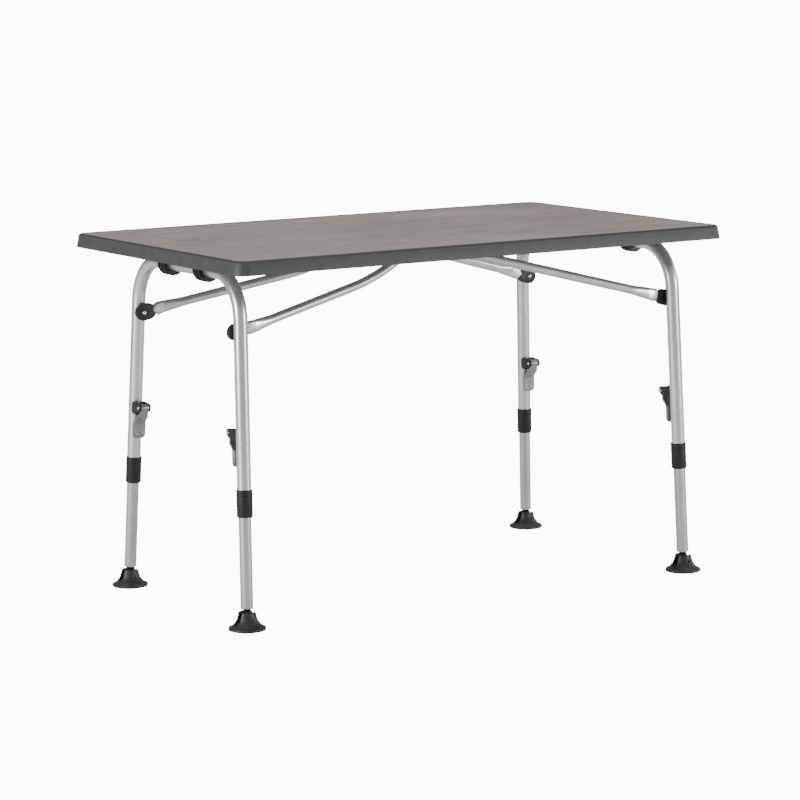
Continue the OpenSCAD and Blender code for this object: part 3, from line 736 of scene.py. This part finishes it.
class TABLE_OT_stage(bpy.types.Operator):
    """Sets the pale floor, the studio lights and the camera"""

    bl_idname = "camping_table.stage"
    bl_label = "Stage"

    def execute(self, context):
        floor = begin("studio_floor", bpy.ops.mesh.primitive_plane_add, size=FLOOR_WIDTH,
                      location=(0, 0, FLOOR_HEIGHT))
        f = Finish("studio_floor", Roughness=0.9, Specular_IOR_Level=0.1)
        cloud = f.noise(f.place, 0.6, 2.0, 0.5)
        f.wire("Base Color", f.blend(cloud, (0.80, 0.80, 0.80, 1), (0.84, 0.84, 0.84, 1)))
        glow = f.add("ShaderNodeEmission", {}, (1, 1, 1, 1), WHITE_FLOOR)
        seen = f.add("ShaderNodeLightPath", {}, out="Is Camera Ray")
        lit = f.add("ShaderNodeMixShader", {}, seen * 0.92, Wire(f, f.shader.outputs[0]), glow)
        f.tree.links.new(lit.socket, f.tree.nodes["Material Output"].inputs["Surface"])
        floor.data.materials.append(f.material)

        world = bpy.data.worlds.new("studio")
        context.scene.world = world
        world.use_nodes = True
        nodes, links = world.node_tree.nodes, world.node_tree.links
        soft, white = nodes["Background"], nodes.new("ShaderNodeBackground")
        soft.inputs["Strength"].default_value = SOFT_LIGHT
        soft.inputs["Color"].default_value = white.inputs["Color"].default_value = (1, 1, 1, 1)
        white.inputs["Strength"].default_value = WHITE_WORLD
        path, both = nodes.new("ShaderNodeLightPath"), nodes.new("ShaderNodeMixShader")
        links.new(path.outputs["Is Camera Ray"], both.inputs[0])
        links.new(soft.outputs[0], both.inputs[1])
        links.new(white.outputs[0], both.inputs[2])
        links.new(both.outputs[0], nodes["World Output"].inputs["Surface"])

        for name, place, size, power in LAMPS:
            light = bpy.data.lights.new(name, "AREA")
            light.size = size
            light.energy = power
            lamp = bpy.data.objects.new(name, light)
            context.scene.collection.objects.link(lamp)
            lamp.location = place
            aim = LAMP_AIM - Vector(place)
            lamp.rotation_euler = aim.to_track_quat("-Z", "Y").to_euler()

        self.camera(context)
        return {"FINISHED"}

    def camera(self, context):
        """Stands where the photograph was taken from."""
        turn, tip, roll = (math.radians(angle) for angle in CAMERA_TURNS)
        data = bpy.data.cameras.new("camera")
        data.sensor_width = 36.0
        data.lens = FOCAL_PIXELS * data.sensor_width / PHOTO_PIXELS
        data.clip_end = 200
        camera = bpy.data.objects.new("camera", data)
        context.scene.collection.objects.link(camera)
        camera.matrix_world = (
            Matrix.Translation(CAMERA_PLACE) @ Matrix.Rotation(turn, 4, "Z")
            @ Matrix.Rotation(math.pi / 2 - tip, 4, "X") @ Matrix.Rotation(roll, 4, "Z"))
        context.scene.camera = camera


class TABLE_OT_board(bpy.types.Operator):
    """Models the laminated board"""

    bl_idname = "camping_table.board"
    bl_label = "Board"

    def execute(self, context):
        sizes = context.scene.table_top_sizes
        low, high = corners("tabletop_panel")
        wide, deep = high.x - low.x, high.y - low.y
        radius = sizes.corner - (corners("edge_trim")[1].x - high.x)
        board = rounded_sheet("laminate_top", wide, deep, radius, low.z)
        inset_steps(board, [(0.0, sizes.board - 0.0004), (0.0004, 0.0004)])
        with editing(board, "EDGE"):
            pick(board, lambda edge: edge.is_boundary, "edges")
            bpy.ops.mesh.edge_face_add()
        outward(board)
        hand_over(board, "table_top", "laminate_board", "tabletop_panel")
        return {"FINISHED"}


class TABLE_OT_trim(bpy.types.Operator):
    """Models the moulded edge trim round the board"""

    bl_idname = "camping_table.trim"
    bl_label = "Edge trim"

    def execute(self, context):
        sizes = context.scene.table_top_sizes
        low, high = corners("edge_trim")
        board_low, board_high = corners("tabletop_panel")
        wide, deep = high.x - low.x, high.y - low.y
        tall = high.z - low.z
        wall = high.x - board_high.x - sizes.flare
        flare = 0.8 * sizes.flare
        outer = rounded_sheet("trim_outer", wide, deep, sizes.corner, low.z, 18)
        inset_steps(outer, [
            (0.0, 0.0018), (0.0001, 0.0007), (flare - 0.0001, tall - 0.0075),
            (0.0007, 0.0014), (0.0009, 0.0013), (0.0013, 0.0014), (0.0014, 0.0007),
            (0.0009, 0.0002), (wall + sizes.lip - sizes.flare * 0.2 - 0.0062, 0.0),
            (0.0006, -0.0003), (0.0004, -0.0005), (0.0002, 0.0004 - sizes.rise),
            (0.0008, -0.0002),
        ])
        open_middle(outer)
        lower = rounded_sheet("trim_lower", wide, deep, sizes.corner, low.z, 18)
        under = board_low.z - low.z
        with editing(lower):
            bpy.ops.mesh.flip_normals()
        inset_steps(lower, [
            (0.0006, 0.0), (0.0022, 0.0), (0.0004, -0.0006),
            (sizes.flare + wall - 0.0034, 0.0024 - under), (0.0115, 0.0), (0.0005, -0.0023),
        ])
        open_middle(lower)
        trim = joined("edge_trim_ring", [outer, lower])
        outward(trim)
        smooth(trim, 40)
        hand_over(trim, "table_top", "trim_plastic", "edge_trim")
        return {"FINISHED"}


class TABLE_OT_saddles(bpy.types.Operator):
    """Models the ribbed saddles that carry the leg tubes"""

    bl_idname = "camping_table.saddles"
    bl_label = "Hinge saddles"

    def execute(self, context):
        sizes = context.scene.leg_sizes
        low, high = corners("hinge_saddle_left_front")
        hinge = joint_place("leg_fold_left")
        drop_z, half = high.z - hinge.z, sizes.saddle / 2
        bore = sizes.tube / 2 + 0.0001
        wall = bore + 0.0073
        rib = hinge.z - low.z

        def cradle(radius):
            return [(-radius, drop_z), *arc(0, 0, radius, 180, 360, 40), (radius, drop_z)]

        saddle = plate("saddle_cradle", cradle(wall), -half, half)
        rib_wide = 0.004
        for start in (-half, -rib_wide / 2, half - rib_wide):
            ring = plate("saddle_rib", cradle(rib), start, start + rib_wide)
            soften(ring, 0.0009, 3, 50)
            cut(saddle, ring, "UNION")
        flange = block("saddle_flange", (low.x - hinge.x, -half, drop_z - 0.005),
                       (high.x - hinge.x, half, drop_z))
        with editing(flange, "EDGE"):
            pick(flange, lambda edge: edge_run(edge, 2) > 0.001, "edges")
            bpy.ops.mesh.bevel(offset=0.006, segments=6)
        cut(saddle, flange, "UNION")
        web_top, web_half, over = drop_z - 0.004, 0.0016, drop_z + 0.01
        for turn in (-1, 1):
            outline = [(turn * wall * 0.8, web_top), (turn * (wall + 0.011), web_top),
                       (turn * wall * 0.9, drop_z - 0.017)]
            cut(saddle, plate("saddle_web", outline[::turn], -web_half, web_half), "UNION")
        outline = [(-bore, over), *arc(0, 0, bore, 180, 360, 40), (bore, over)]
        cut(saddle, plate("saddle_bore", outline, -0.04, 0.04))
        soften(saddle, 0.0005, 2, 50)
        smooth(saddle, 32)

        def place(side, end):
            across = middle(f"hinge_saddle_{side}_{end}").y
            return Matrix.Translation((joint_place(f"leg_fold_{side}").x, across, hinge.z))

        at_each_leg((saddle, "ribbed_hinge_saddle", "hinge_saddle", "table_top",
                     "black_plastic", place))
        return {"FINISHED"}


class TABLE_OT_clips(bpy.types.Operator):
    """Models the open hooks that hold the yokes' crossbars"""

    bl_idname = "camping_table.clips"
    bl_label = "Yoke clips"

    def execute(self, context):
        sizes = context.scene.yoke_sizes
        low, high = corners("yoke_clip_left_front")
        half = (high.y - low.y) / 2
        hook = sizes.tube / 2 + 0.0003
        skin = hook + 0.0032
        reach = sizes.tube / 2 + 0.015
        outline = [(-skin, hook), *arc(0, 0, skin, 180, 238, 20),
                   *arc(0, 0, hook, 238, 92, 40), (0.004, hook), (reach, hook), (reach, skin),
                   (-reach, skin), (-reach, hook)]
        clip = plate("clip_hook", outline, -half, half)
        bead_wide = 0.0025
        outline = [*arc(0, 0, skin, 180, 236, 20), *arc(0, 0, skin + 0.0012, 236, 180, 20)]
        for start in (-half, half - bead_wide):
            cut(clip, plate("clip_bead", outline, start, start + bead_wide), "UNION")
        soften(clip, 0.0005, 2, 40)
        smooth(clip, 32)

        def place(side, end):
            x_turn, _ = turns(side, end)
            mirrored = Matrix.Diagonal((x_turn, 1, 1, 1))
            mirrored.translation = (-x_turn * sizes.cross,
                                    middle(f"yoke_clip_{side}_{end}").y, crossbar_height())
            return mirrored

        at_each_leg((clip, "moulded_yoke_clip", "yoke_clip", "table_top", "black_plastic",
                     place))
        return {"FINISHED"}


class TABLE_OT_leg_bows(bpy.types.Operator):
    """Models the bent tubes of the leg frames"""

    bl_idname = "camping_table.leg_bows"
    bl_label = "Leg bows"

    def execute(self, context):
        sizes = context.scene.leg_sizes
        for side in SIDES:
            half = getattr(sizes, f"half_{side}")
            hinge = joint_place(f"leg_fold_{side}")
            path = []
            for end, turn in (("front", -1), ("rear", 1)):
                up = Vector(JOINTS[f"leg_slide_{side}_{end}"]["axis"])
                corner = Vector((hinge.x, turn * half, hinge.z))
                path += [corner - up * sizes.long, corner][::-turn]
            bow = bent_tube(f"silver_leg_bow_{side}", sizes.tube / 2, path,
                            [sizes.bend, sizes.bend], 56, 24)
            modify(bow, "SOLIDIFY", thickness=TUBE_WALL, offset=-1.0, use_even_offset=True)
            smooth(bow, 35)
            hand_over(bow, f"leg_frame_{side}", "silver_tube", f"leg_bow_{side}")
        return {"FINISHED"}


class TABLE_OT_collars(bpy.types.Operator):
    """Models the ribbed collars at the ends of the leg tubes"""

    bl_idname = "camping_table.collars"
    bl_label = "Collars"

    def execute(self, context):
        sizes = context.scene.leg_sizes
        r, half = sizes.tube / 2 + 0.0019, sizes.collar / 2
        bore = sizes.inner / 2 + 0.0002
        body = turned("collar_body", [
            (r - 0.0032, -half), (r - 0.0016, -half + 0.0004), (r - 0.0005, -half + 0.0014),
            (r, -half + 0.0032), (r, half - 0.0128), (r + 0.0005, half - 0.0124),
            (r + 0.0005, half - 0.0116), (r, half - 0.0112), (r, half - 0.0088),
            (r + 0.0005, half - 0.0084), (r + 0.0005, half - 0.0076), (r, half - 0.0072),
            (r, half - 0.0028), (r + 0.0005, half - 0.0022), (r + 0.0005, half - 0.0004),
            (r - 0.0002, half),
        ], 72)
        step = 0.006 - half
        cut(body, bar("guide_bore", bore, (0, 0, -0.1), (0, 0, step)))
        cut(body, bar("tube_bore", sizes.tube / 2 + SNUG, (0, 0, step), (0, 0, 0.1), 72))
        smooth(body, 30)
        at_each_leg((body, "ribbed_collar", "collar", "leg_frame_{side}", "black_plastic",
                     collar_place))
        return {"FINISHED"}


class TABLE_OT_clamps(bpy.types.Operator):
    """Models the clamps' bases with their two ears, and the plungers in them"""

    bl_idname = "camping_table.clamps"
    bl_label = "Clamp bases"

    def execute(self, context):
        sizes = context.scene.leg_sizes
        off, half, ear_wide = sizes.pin_off, sizes.base / 2, 0.0032
        base = plate("clamp_block", [
            *arc(0.0135 - off, -0.0095, 0.0055, 180, 270, 6), (0.025 - off, -0.015),
            (0.025 - off, 0.009), *arc(0.0135 - off, 0.0035, 0.0055, 90, 180, 6)],
                     -half, half, "X")
        for low, high in ((-half, ear_wide - half), (half - ear_wide, half)):
            ear = plate("clamp_ear", [
                (0.023 - off, 0.009), (0.023 - off, -0.013), (0.0255 - off, -0.013),
                *arc(0, 0, HUB + 0.0012, -78, 74, 24), (0.027 - off, 0.009)], low, high, "X")
            soften(ear, 0.0007, 2, 60)
            cut(base, ear, "UNION")
        for height in (-0.0125, -0.0095, -0.0065):
            rib = block("clamp_rib", (ear_wide - half, 0.0245 - off, height),
                        (half - ear_wide, 0.0258 - off, height + 0.0014))
            cut(base, rib, "UNION")
        cut(base, bar("leg_seat", sizes.tube / 2 + SNUG, (0, -off, -0.1), (0, -off, 0.1), 72))
        cut(base, bar("pin_seat", PIN, (-0.04, 0, 0), (0.04, 0, 0), 32))
        soften(base, 0.0004, 2, 45)
        smooth(base, 35)
        long = off - CAM - HUB - 0.0003 - 0.0128
        plunger = rod("plunger", [
            (0.0036, 0.0), (0.0040, 0.0005), (0.0040, long - 0.0020),
            (0.0050, long - 0.0018), (0.0054, long - 0.0014), (0.0054, long - 0.0004),
            (0.0050, long),
        ], (0, 0.01285 - off, 0), (0, 1, 0))
        smooth(plunger, 35)
        at_each_leg(
            (base, "eared_base", "clamp_base", "leg_frame_{side}", "black_plastic", leg_place),
            (plunger, "plunger_rod", "clamp_plunger", "plunger_{leg}", "plunger_plastic",
             leg_place))
        return {"FINISHED"}


class TABLE_OT_levers(bpy.types.Operator):
    """Models the cast clamp levers"""

    bl_idname = "camping_table.levers"
    bl_label = "Clamp levers"

    def execute(self, context):
        sizes = context.scene.leg_sizes
        long, hub_wide = sizes.lever, sizes.base - 0.0070
        paddle = sizes.tube / 2 + 0.007 - sizes.pin_off
        widths = ((0.0, hub_wide), (0.014, hub_wide), (0.019, sizes.base), (0.030, sizes.base),
                  (0.038, 0.028), (1.0, 0.028))

        def wide_at(down):
            for (d0, w0), (d1, w1) in zip(widths, widths[1:]):
                if down <= d1:
                    return w0 + (w1 - w0) * (down - d0) / (d1 - d0)

        slices = []
        for k in range(13):
            share = k / 12
            down = 0.008 + share * (0.58 * long - 0.008)
            back = paddle + (0.004 - paddle) * (1 - eased(share))
            deep = 0.0040 + 0.0020 * (1 - share)
            slices.append((0, back - deep / 2, -down, wide_at(down), deep))
        top = (0, -0.0005, -0.0020, hub_wide, 0.0110)
        centre = paddle - 0.0020
        tip = [(0, centre, -long + 0.008 - 0.0079 * math.sin(a), 0.012 + 0.016 * math.cos(a),
                0.0040 - 0.0008 * (1 - math.cos(a)))
               for a in (math.pi / 2 * k / 8 for k in range(9))]
        blade = lofted("lever_blade", [top, *slices, *tip])
        half = hub_wide / 2
        for name, shift in (("lever_hub", 0), ("lever_cam", -CAM)):
            cut(blade, bar(name, HUB, (-half, shift, 0), (half, shift, 0), 48), "UNION")
        hollow = paddle + 0.0589
        dish = bar("dish", 0.060, (0, hollow, -0.0600), (0, hollow, -0.0400), 96)
        with editing(dish, "VERT"):
            bpy.ops.mesh.select_all(action="SELECT")
            bpy.ops.transform.resize(value=(0.16, 1, 1), center_override=(0, 0, 0))
        cut(blade, dish)
        for height in (-0.0475, -0.0505, -0.0535):
            ends = [(across, paddle - 0.0010, height) for across in (-0.0060, 0.0060)]
            cut(blade, bar("grip_ridge", 0.0007, *ends, 16), "UNION")
        cut(blade, bar("pin_bore", PIN_BORE, (-0.03, 0, 0), (0.03, 0, 0), 32))
        soften(blade, 0.0006, 2, 40)
        smooth(blade, 40)
        at_each_leg((blade, "cast_lever", "clamp_lever", "lever_{leg}", "lever_metal",
                     leg_place))
        return {"FINISHED"}


class TABLE_OT_inner_tubes(bpy.types.Operator):
    """Models the inner leg tubes with their crimped mouths, and the stems in them"""

    bl_idname = "camping_table.inner_tubes"
    bl_label = "Inner tubes and stems"

    def execute(self, context):
        r, long = context.scene.leg_sizes.inner / 2, 0.3600
        tube = turned("inner_tube", [
            (0.0096, 0.0006), (0.0103, 0.0001), (0.0111, 0.0), (0.0117, 0.0004),
            (0.0121, 0.0012), (0.0123, 0.0024), (0.01245, 0.0040), (r, 0.0062),
            (r, long - 0.0010), (r - 0.0010, long), (0.0050, long),
        ], 56)
        smooth(tube, 35)
        stem = turned("stem_neck", [
            (0.0050, -0.0195), (0.0057, -0.0190), (0.0057, -0.0092), (0.0059, -0.0070),
            (0.0063, -0.0048), (0.0070, -0.0028), (0.0079, -0.0012), (0.0090, -0.0003),
            (0.0096, 0.0004), (0.0096, 0.0030),
        ], 48)
        smooth(stem, 40)
        ball = begin("stem_ball", bpy.ops.mesh.primitive_uv_sphere_add, segments=48,
                     ring_count=24, radius=0.0090)
        cut(ball, block("ball_flats", (-0.02, -0.0063, -0.02), (0.02, 0.0063, 0.02)),
            "INTERSECT")
        cut(ball, bar("pin_hole", PIN_BORE, (0, -0.02, 0), (0, 0.02, 0), 32))
        soften(ball, 0.0005, 2, 50)
        smooth(ball, 40)
        for side, end in LEGS:
            place = stem_place(side, end)
            body = f"foot_tube_{side}_{end}"
            piece = placed_copy(tube, f"crimped_tube_{side}_{end}", place)
            hand_over(piece, body, "inner_aluminium", f"inner_tube_{side}_{end}")
            piece = joined(f"ball_stem_{side}_{end}", [
                placed_copy(stem, "neck", place),
                placed_copy(ball, "ball", foot_pin_place(side, end))])
            hand_over(piece, body, "black_plastic", f"foot_stem_{side}_{end}")
        for piece in (tube, stem, ball):
            drop(piece)
        return {"FINISHED"}


class TABLE_OT_feet(bpy.types.Operator):
    """Models the bell feet with their slotted lobes, and their swivel pins"""

    bl_idname = "camping_table.feet"
    bl_label = "Feet"

    def execute(self, context):
        r = context.scene.leg_sizes.foot
        bell = turned("foot_bell", [
            (r - 0.0100, 0.0012), (r - 0.0092, 0.0), (r - 0.0016, 0.0), (r - 0.0005, 0.0005),
            (r, 0.0016), (r, 0.0044), (r - 0.0006, 0.0056), (r - 0.0020, 0.0062),
            (r - 0.0062, 0.0082), (r - 0.0096, 0.0108), (r - 0.0128, 0.0146),
            (r - 0.0155, 0.0190), (r - 0.0174, 0.0235), (r - 0.0186, 0.0285),
            (r - 0.0194, 0.0325), (r - 0.0203, 0.0350), (r - 0.0222, 0.0360),
        ], 80)
        trench = block("trench", (-0.05, -0.007, 0.0095), (0.05, 0.007, 0.05))
        with editing(trench, "EDGE"):
            pick(trench, lambda edge: max(v.co.z for v in edge.verts) < 0.02
                 and edge_run(edge, 1) < WELD and edge_run(edge, 0) > 0.01, "edges")
            bpy.ops.mesh.bevel(offset=0.0065, segments=8)
        outward(trench)
        cut(bell, trench)
        mouth = turned("mouth", [(0.0068, 0.0300), (0.0150, 0.0362), (0.0150, 0.04)], 48)
        cut(bell, mouth)
        cut(bell, bar("pin_hole", PIN, (0, -0.05, SWIVEL_HEIGHT), (0, 0.05, SWIVEL_HEIGHT), 32))
        soften(bell, 0.0005, 2, 38)
        smooth(bell, 34)
        pin = rod("swivel_pin", [
            (0.0021, 0.0), (PIN, 0.0004), (PIN, 0.0320), (0.0021, 0.0324),
        ], (0, -0.0162, 0), (0, 1, 0), 32)
        smooth(pin, 35)
        at_each_leg(
            (bell, "bell_foot", "foot", "foot_{leg}", "foot_plastic", foot_place),
            (pin, "swivel_pin", "foot_pin", "foot_{leg}", "bright_steel", foot_pin_place))
        return {"FINISHED"}


class TABLE_OT_yokes(bpy.types.Operator):
    """Models the bent yoke tubes with their pressed flat ends"""

    bl_idname = "camping_table.yokes"
    bl_label = "Yokes"

    def execute(self, context):
        sizes = context.scene.yoke_sizes
        tip = sizes.knuckle + YOKE_GAP
        flat_end = tip + sizes.flat
        round_start = flat_end + PRESS_LENGTH
        for side in SIDES:
            pivot = joint_place(f"yoke_swing_{side}")
            rise = arm_rise(side)
            flat_y = knuckle_face(side) - KNUCKLE_SKIN - 0.0002 - sizes.thin / 2
            corner_y = getattr(sizes, f"half_{side}")
            corner_x = abs(pivot.x) - sizes.cross
            corner_z = crossbar_height() - pivot.z

            def across(along):
                share = (along - flat_end) / (corner_x / math.cos(rise) - flat_end)
                return -flat_y + (flat_y - corner_y) * share

            def arm_point(along):
                return Vector((along * math.cos(rise), across(along), along * math.sin(rise)))

            x_turn, _ = turns(side, "front")
            front = [arm_point(round_start)]
            bends = []
            if side == "left":
                front.append(arm_point(sizes.upturn / math.cos(rise)))
                bends.append(sizes.upturn_bend)
            front.append(Vector((corner_x, -corner_y, corner_z)))
            bends.append(sizes.bend)
            path = [*front, *(Vector((p.x, -p.y, p.z)) for p in reversed(front))]
            path = [Vector((pivot.x + x_turn * p.x, p.y, pivot.z + p.z)) for p in path]
            tube = bent_tube(f"yoke_tube_{side}", sizes.tube / 2, path, [*bends, *bends[::-1]],
                             48, 14)
            pressed = self.pressed_end(sizes, tip, flat_end, round_start, across)
            ends = pair("pressed_ends", pressed, side, arm_place)
            drop(pressed)
            yoke = joined(f"silver_yoke_{side}", [tube, ends])
            smooth(yoke, 30)
            hand_over(yoke, f"yoke_{side}", "silver_tube", f"yoke_{side}")
        return {"FINISHED"}

    def pressed_end(self, sizes, tip, flat_end, round_start, across):
        """From the round tube to an oval, pressed flat and round at its tip."""
        high, thin, radius = sizes.flat / 2, sizes.thin / 2, sizes.tube / 2
        oval = thin * 1.30
        sections = [(along, across(along), radius + grow, radius + grow)
                    for along, grow in ((round_start + 0.012, -0.0006),
                                        (round_start + 0.001, 0.00002))]
        start = round_start - 0.0004
        for k in range(15):
            ease = eased(k / 14)
            along = start + (flat_end - start) * k / 14
            sections.append((along, across(max(along, flat_end)),
                             radius + (oval - radius) * ease,
                             radius + (high - radius) * ease))
        for k in range(9):
            turn = math.pi / 2 * k / 8
            sections.append((tip + high - high * math.sin(turn) * 0.985, across(flat_end),
                             oval - thin * 0.25 * math.sin(turn),
                             high * math.cos(turn) + 0.0012))
        along, side, wide, tall = sections[0]
        obj = begin("pressed_end", bpy.ops.mesh.primitive_circle_add, vertices=48, radius=1,
                    rotation=(0, math.pi / 2, 0), fill_type="NGON", location=(along, side, 0))
        with editing(obj):
            bpy.ops.transform.resize(value=(1, wide, tall), center_override=(along, side, 0))
        extruded(obj, [((x1 - x0, y1 - y0, 0), (1, w1 / w0, h1 / h0), (x1, y1, 0))
                       for (x0, y0, w0, h0), (x1, y1, w1, h1) in zip(sections, sections[1:])])
        wide, past = radius + 0.0010, round_start + 0.020
        edges = ((tip - 0.004, across(flat_end), thin), (flat_end, across(flat_end), thin),
                 (round_start + 0.001, across(round_start), wide), (past, across(past), wide))
        plan = [(x, y - half) for x, y, half in edges]
        plan += [(x, y + half) for x, y, half in reversed(edges)]
        press = plate("press", plan, -0.03, 0.03)
        swap_y_and_z = Matrix(((1, 0, 0, 0), (0, 0, 1, 0), (0, 1, 0, 0), (0, 0, 0, 1)))
        press.data.transform(swap_y_and_z)
        press.data.flip_normals()
        cut(obj, press, "INTERSECT")
        soften(obj, 0.0006, 2, 25)
        return obj


class TABLE_OT_knuckles(bpy.types.Operator):
    """Models the moulded knuckles on which the yokes swing"""

    bl_idname = "camping_table.knuckles"
    bl_label = "Knuckles"

    def execute(self, context):
        sizes = context.scene.yoke_sizes
        r, thick = sizes.knuckle, sizes.thick
        pocket = sizes.flat / 2 + 0.0002
        centre = r + YOKE_GAP + sizes.flat / 2
        horn = 0.011
        for side in SIDES:
            face = -knuckle_face(side)
            body = plate("knuckle_body", [
                *arc(0, 0, r, 90, 270, 40), *arc(horn, 0, r, -90, -30, 12),
                *arc(horn, 0, r, 30, 90, 12)], face, face + thick)
            cut(body, plate("pocket", [*arc(centre, 0, pocket, 90, 270, 32),
                                       (centre + 0.03, -pocket), (centre + 0.03, pocket)],
                            face + KNUCKLE_SKIN, face + 0.03))
            soften(body, 0.0010, 3, 40)
            boss = rod("boss", [(0.0098, 0.0), (0.0098, 0.0004), (0.0092, 0.0009),
                                (0.0064, 0.0009), (0.0060, 0.0002), (0.0050, 0.0001)],
                       (0, face + thick - 0.0002, 0), (0, 1, 0), 48)
            smooth(body, 35)
            smooth(boss, 35)
            knuckle = joined("knuckle", [body, boss])
            for end in ENDS:
                name = f"yoke_knuckle_{side}_{end}"
                piece = placed_copy(knuckle, f"moulded_{name}", arm_place(side, end))
                hand_over(piece, f"yoke_{side}", "black_plastic", name)
            drop(knuckle)
        return {"FINISHED"}


class TABLE_OT_fasteners(bpy.types.Operator):
    """Models the screws, pins and rivets"""

    bl_idname = "camping_table.fasteners"
    bl_label = "Screws, pins and rivets"

    def execute(self, context):
        self.screws("saddle_screws", 0.0032, 8)
        self.screws("clip_screws", 0.0020, 8)
        sizes = context.scene.leg_sizes
        wide = sizes.base
        pin = rod("pin", [
            (0.0024, 0.0), (0.0036, 0.0003), (0.0040, 0.0010), (0.0040, 0.0021),
            (PIN, 0.0022), (PIN, wide + 0.0023), (0.0033, wide + 0.0024),
            (0.0033, wide + 0.0032), (0.0024, wide + 0.0039),
        ], (-wide / 2 - 0.0022, 0, 0), (1, 0, 0))
        smooth(pin, 35)
        rivet = rod("rivet", [
            (0.0015, 0.0), (0.0015, 0.0118), (0.0028, 0.0118), (0.0030, 0.0122),
            (0.0027, 0.0127), (0.0018, 0.0130),
        ], (0, 0.0132 - sizes.pin_off, -0.011), (0, 1, 0), 32)
        smooth(rivet, 35)
        for side in SIDES:
            for name, shape, slot in (("lever_pins", pin, "bright_steel"),
                                      ("base_rivets", rivet, "zinc_steel")):
                hand_over(pair(f"turned_{name}_{side}", shape, side, leg_place),
                          f"leg_frame_{side}", slot, f"{name}_{side}")
            self.pivots(side)
        drop(pin)
        drop(rivet)
        return {"FINISHED"}

    def pivots(self, side):
        face = knuckle_face(side)
        reach = corners(f"pivot_rivets_{side}")[1].y - face
        far = reach + bpy.context.scene.yoke_sizes.thick
        shape = rod("pivot", [
            (0.0042, 0.0), (0.0045, 0.0004), (0.0045, 0.0018), (0.0030, 0.0020),
            (0.0030, reach - 0.0024), (0.0050, reach - 0.0022), (0.0050, reach - 0.0005),
            (0.0030, reach - 0.0004), (0.0030, far + 0.0002), (0.0046, far + 0.0004),
            (0.0046, far + 0.0010), (0.0042, far + 0.0018), (0.0033, far + 0.0025),
            (0.0022, far + 0.0029), (0.0016, far + 0.0024),
        ], (0, -face - reach, 0), (0, 1, 0), 48)
        smooth(shape, 30)
        hand_over(pair(f"turned_pivots_{side}", shape, side, arm_place),
                  f"leg_frame_{side}", "bright_steel", f"pivot_rivets_{side}")
        drop(shape)

    def screws(self, node, head, count):
        """Pan heads with a cross recess, put where the model's own screws are."""
        low = corners(node)[0].z
        centres = {}
        for x, y, z in (vert.co for vert in NODES[node].data.vertices):
            key = next((k for k in centres if math.hypot(k[0] - x, k[1] - y) < SCREW_REACH),
                       (x, y))
            centres.setdefault(key, []).append((x, y))
        if len(centres) != count:
            raise RuntimeError(f"{node}: {len(centres)} screws instead of {count}")
        screw = turned("pan_screw", [
            (0.0026, 0.0), (0.0036, 0.0004), (0.0041, 0.0010), (0.0042, head),
            (0.0020, head + 0.0001), (0.0020, head + 0.0160),
        ], 40)
        for wide, deep in ((0.0040, 0.0009), (0.0009, 0.0040)):
            cut(screw, block("recess", (-wide / 2, -deep / 2, -0.001),
                             (wide / 2, deep / 2, 0.0011)))
        smooth(screw, 30)
        copies = []
        for points in centres.values():
            xs, ys = [p[0] for p in points], [p[1] for p in points]
            place = ((min(xs) + max(xs)) / 2, (min(ys) + max(ys)) / 2, low)
            copies.append(placed_copy(screw, "screw", Matrix.Translation(place)))
        drop(screw)
        group = joined(f"cross_{node}", copies)
        hand_over(group, "table_top", "zinc_steel", node)


class TABLE_OT_cad_finishes(bpy.types.Operator):
    """Gives the model's own parts the finishes of their slots"""

    bl_idname = "camping_table.cad_finishes"
    bl_label = "Finishes of the model's own parts"

    def execute(self, context):
        slots = {part["node"]: part["material_slot"] for part in frame["record"]["subparts"]}
        for name, node in NODES.items():
            node.data.materials.clear()
            node.data.materials.append(finish(slots[name]))
        return {"FINISHED"}


class TABLE_PT_panel(bpy.types.Panel):
    """Lists the table's pieces"""

    bl_idname = "TABLE_PT_panel"
    bl_label = "Camping Table"
    bl_space_type = "VIEW_3D"
    bl_region_type = "UI"
    bl_category = "Camping Table"

    def draw(self, context):
        for title in GROUPS:
            group = getattr(context.scene, title)
            box = self.layout.box()
            for name in group.__annotations__:
                box.prop(group, name)
        for operator in OPERATORS:
            self.layout.operator(operator.bl_idname)


OPERATORS = (
    TABLE_OT_stage, TABLE_OT_board, TABLE_OT_trim, TABLE_OT_saddles, TABLE_OT_clips,
    TABLE_OT_leg_bows, TABLE_OT_collars, TABLE_OT_clamps, TABLE_OT_levers,
    TABLE_OT_inner_tubes, TABLE_OT_feet, TABLE_OT_yokes, TABLE_OT_knuckles,
    TABLE_OT_fasteners, TABLE_OT_cad_finishes,
)
GROUPS = {"table_top_sizes": TableTopSizes, "leg_sizes": LegSizes, "yoke_sizes": YokeSizes}
CLASSES = (*GROUPS.values(), *OPERATORS, TABLE_PT_panel)


def register():
    for cls in CLASSES:
        bpy.utils.register_class(cls)
    for name, group in GROUPS.items():
        setattr(bpy.types.Scene, name, bpy.props.PointerProperty(type=group))


def unregister():
    for name in GROUPS:
        delattr(bpy.types.Scene, name)
    for cls in reversed(CLASSES):
        bpy.utils.unregister_class(cls)


def main():
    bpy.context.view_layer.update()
    register()
    for operator in OPERATORS:
        group, name = operator.bl_idname.split(".")
        getattr(getattr(bpy.ops, group), name)()
    rest_selection()


if __name__ == "__main__":
    main()
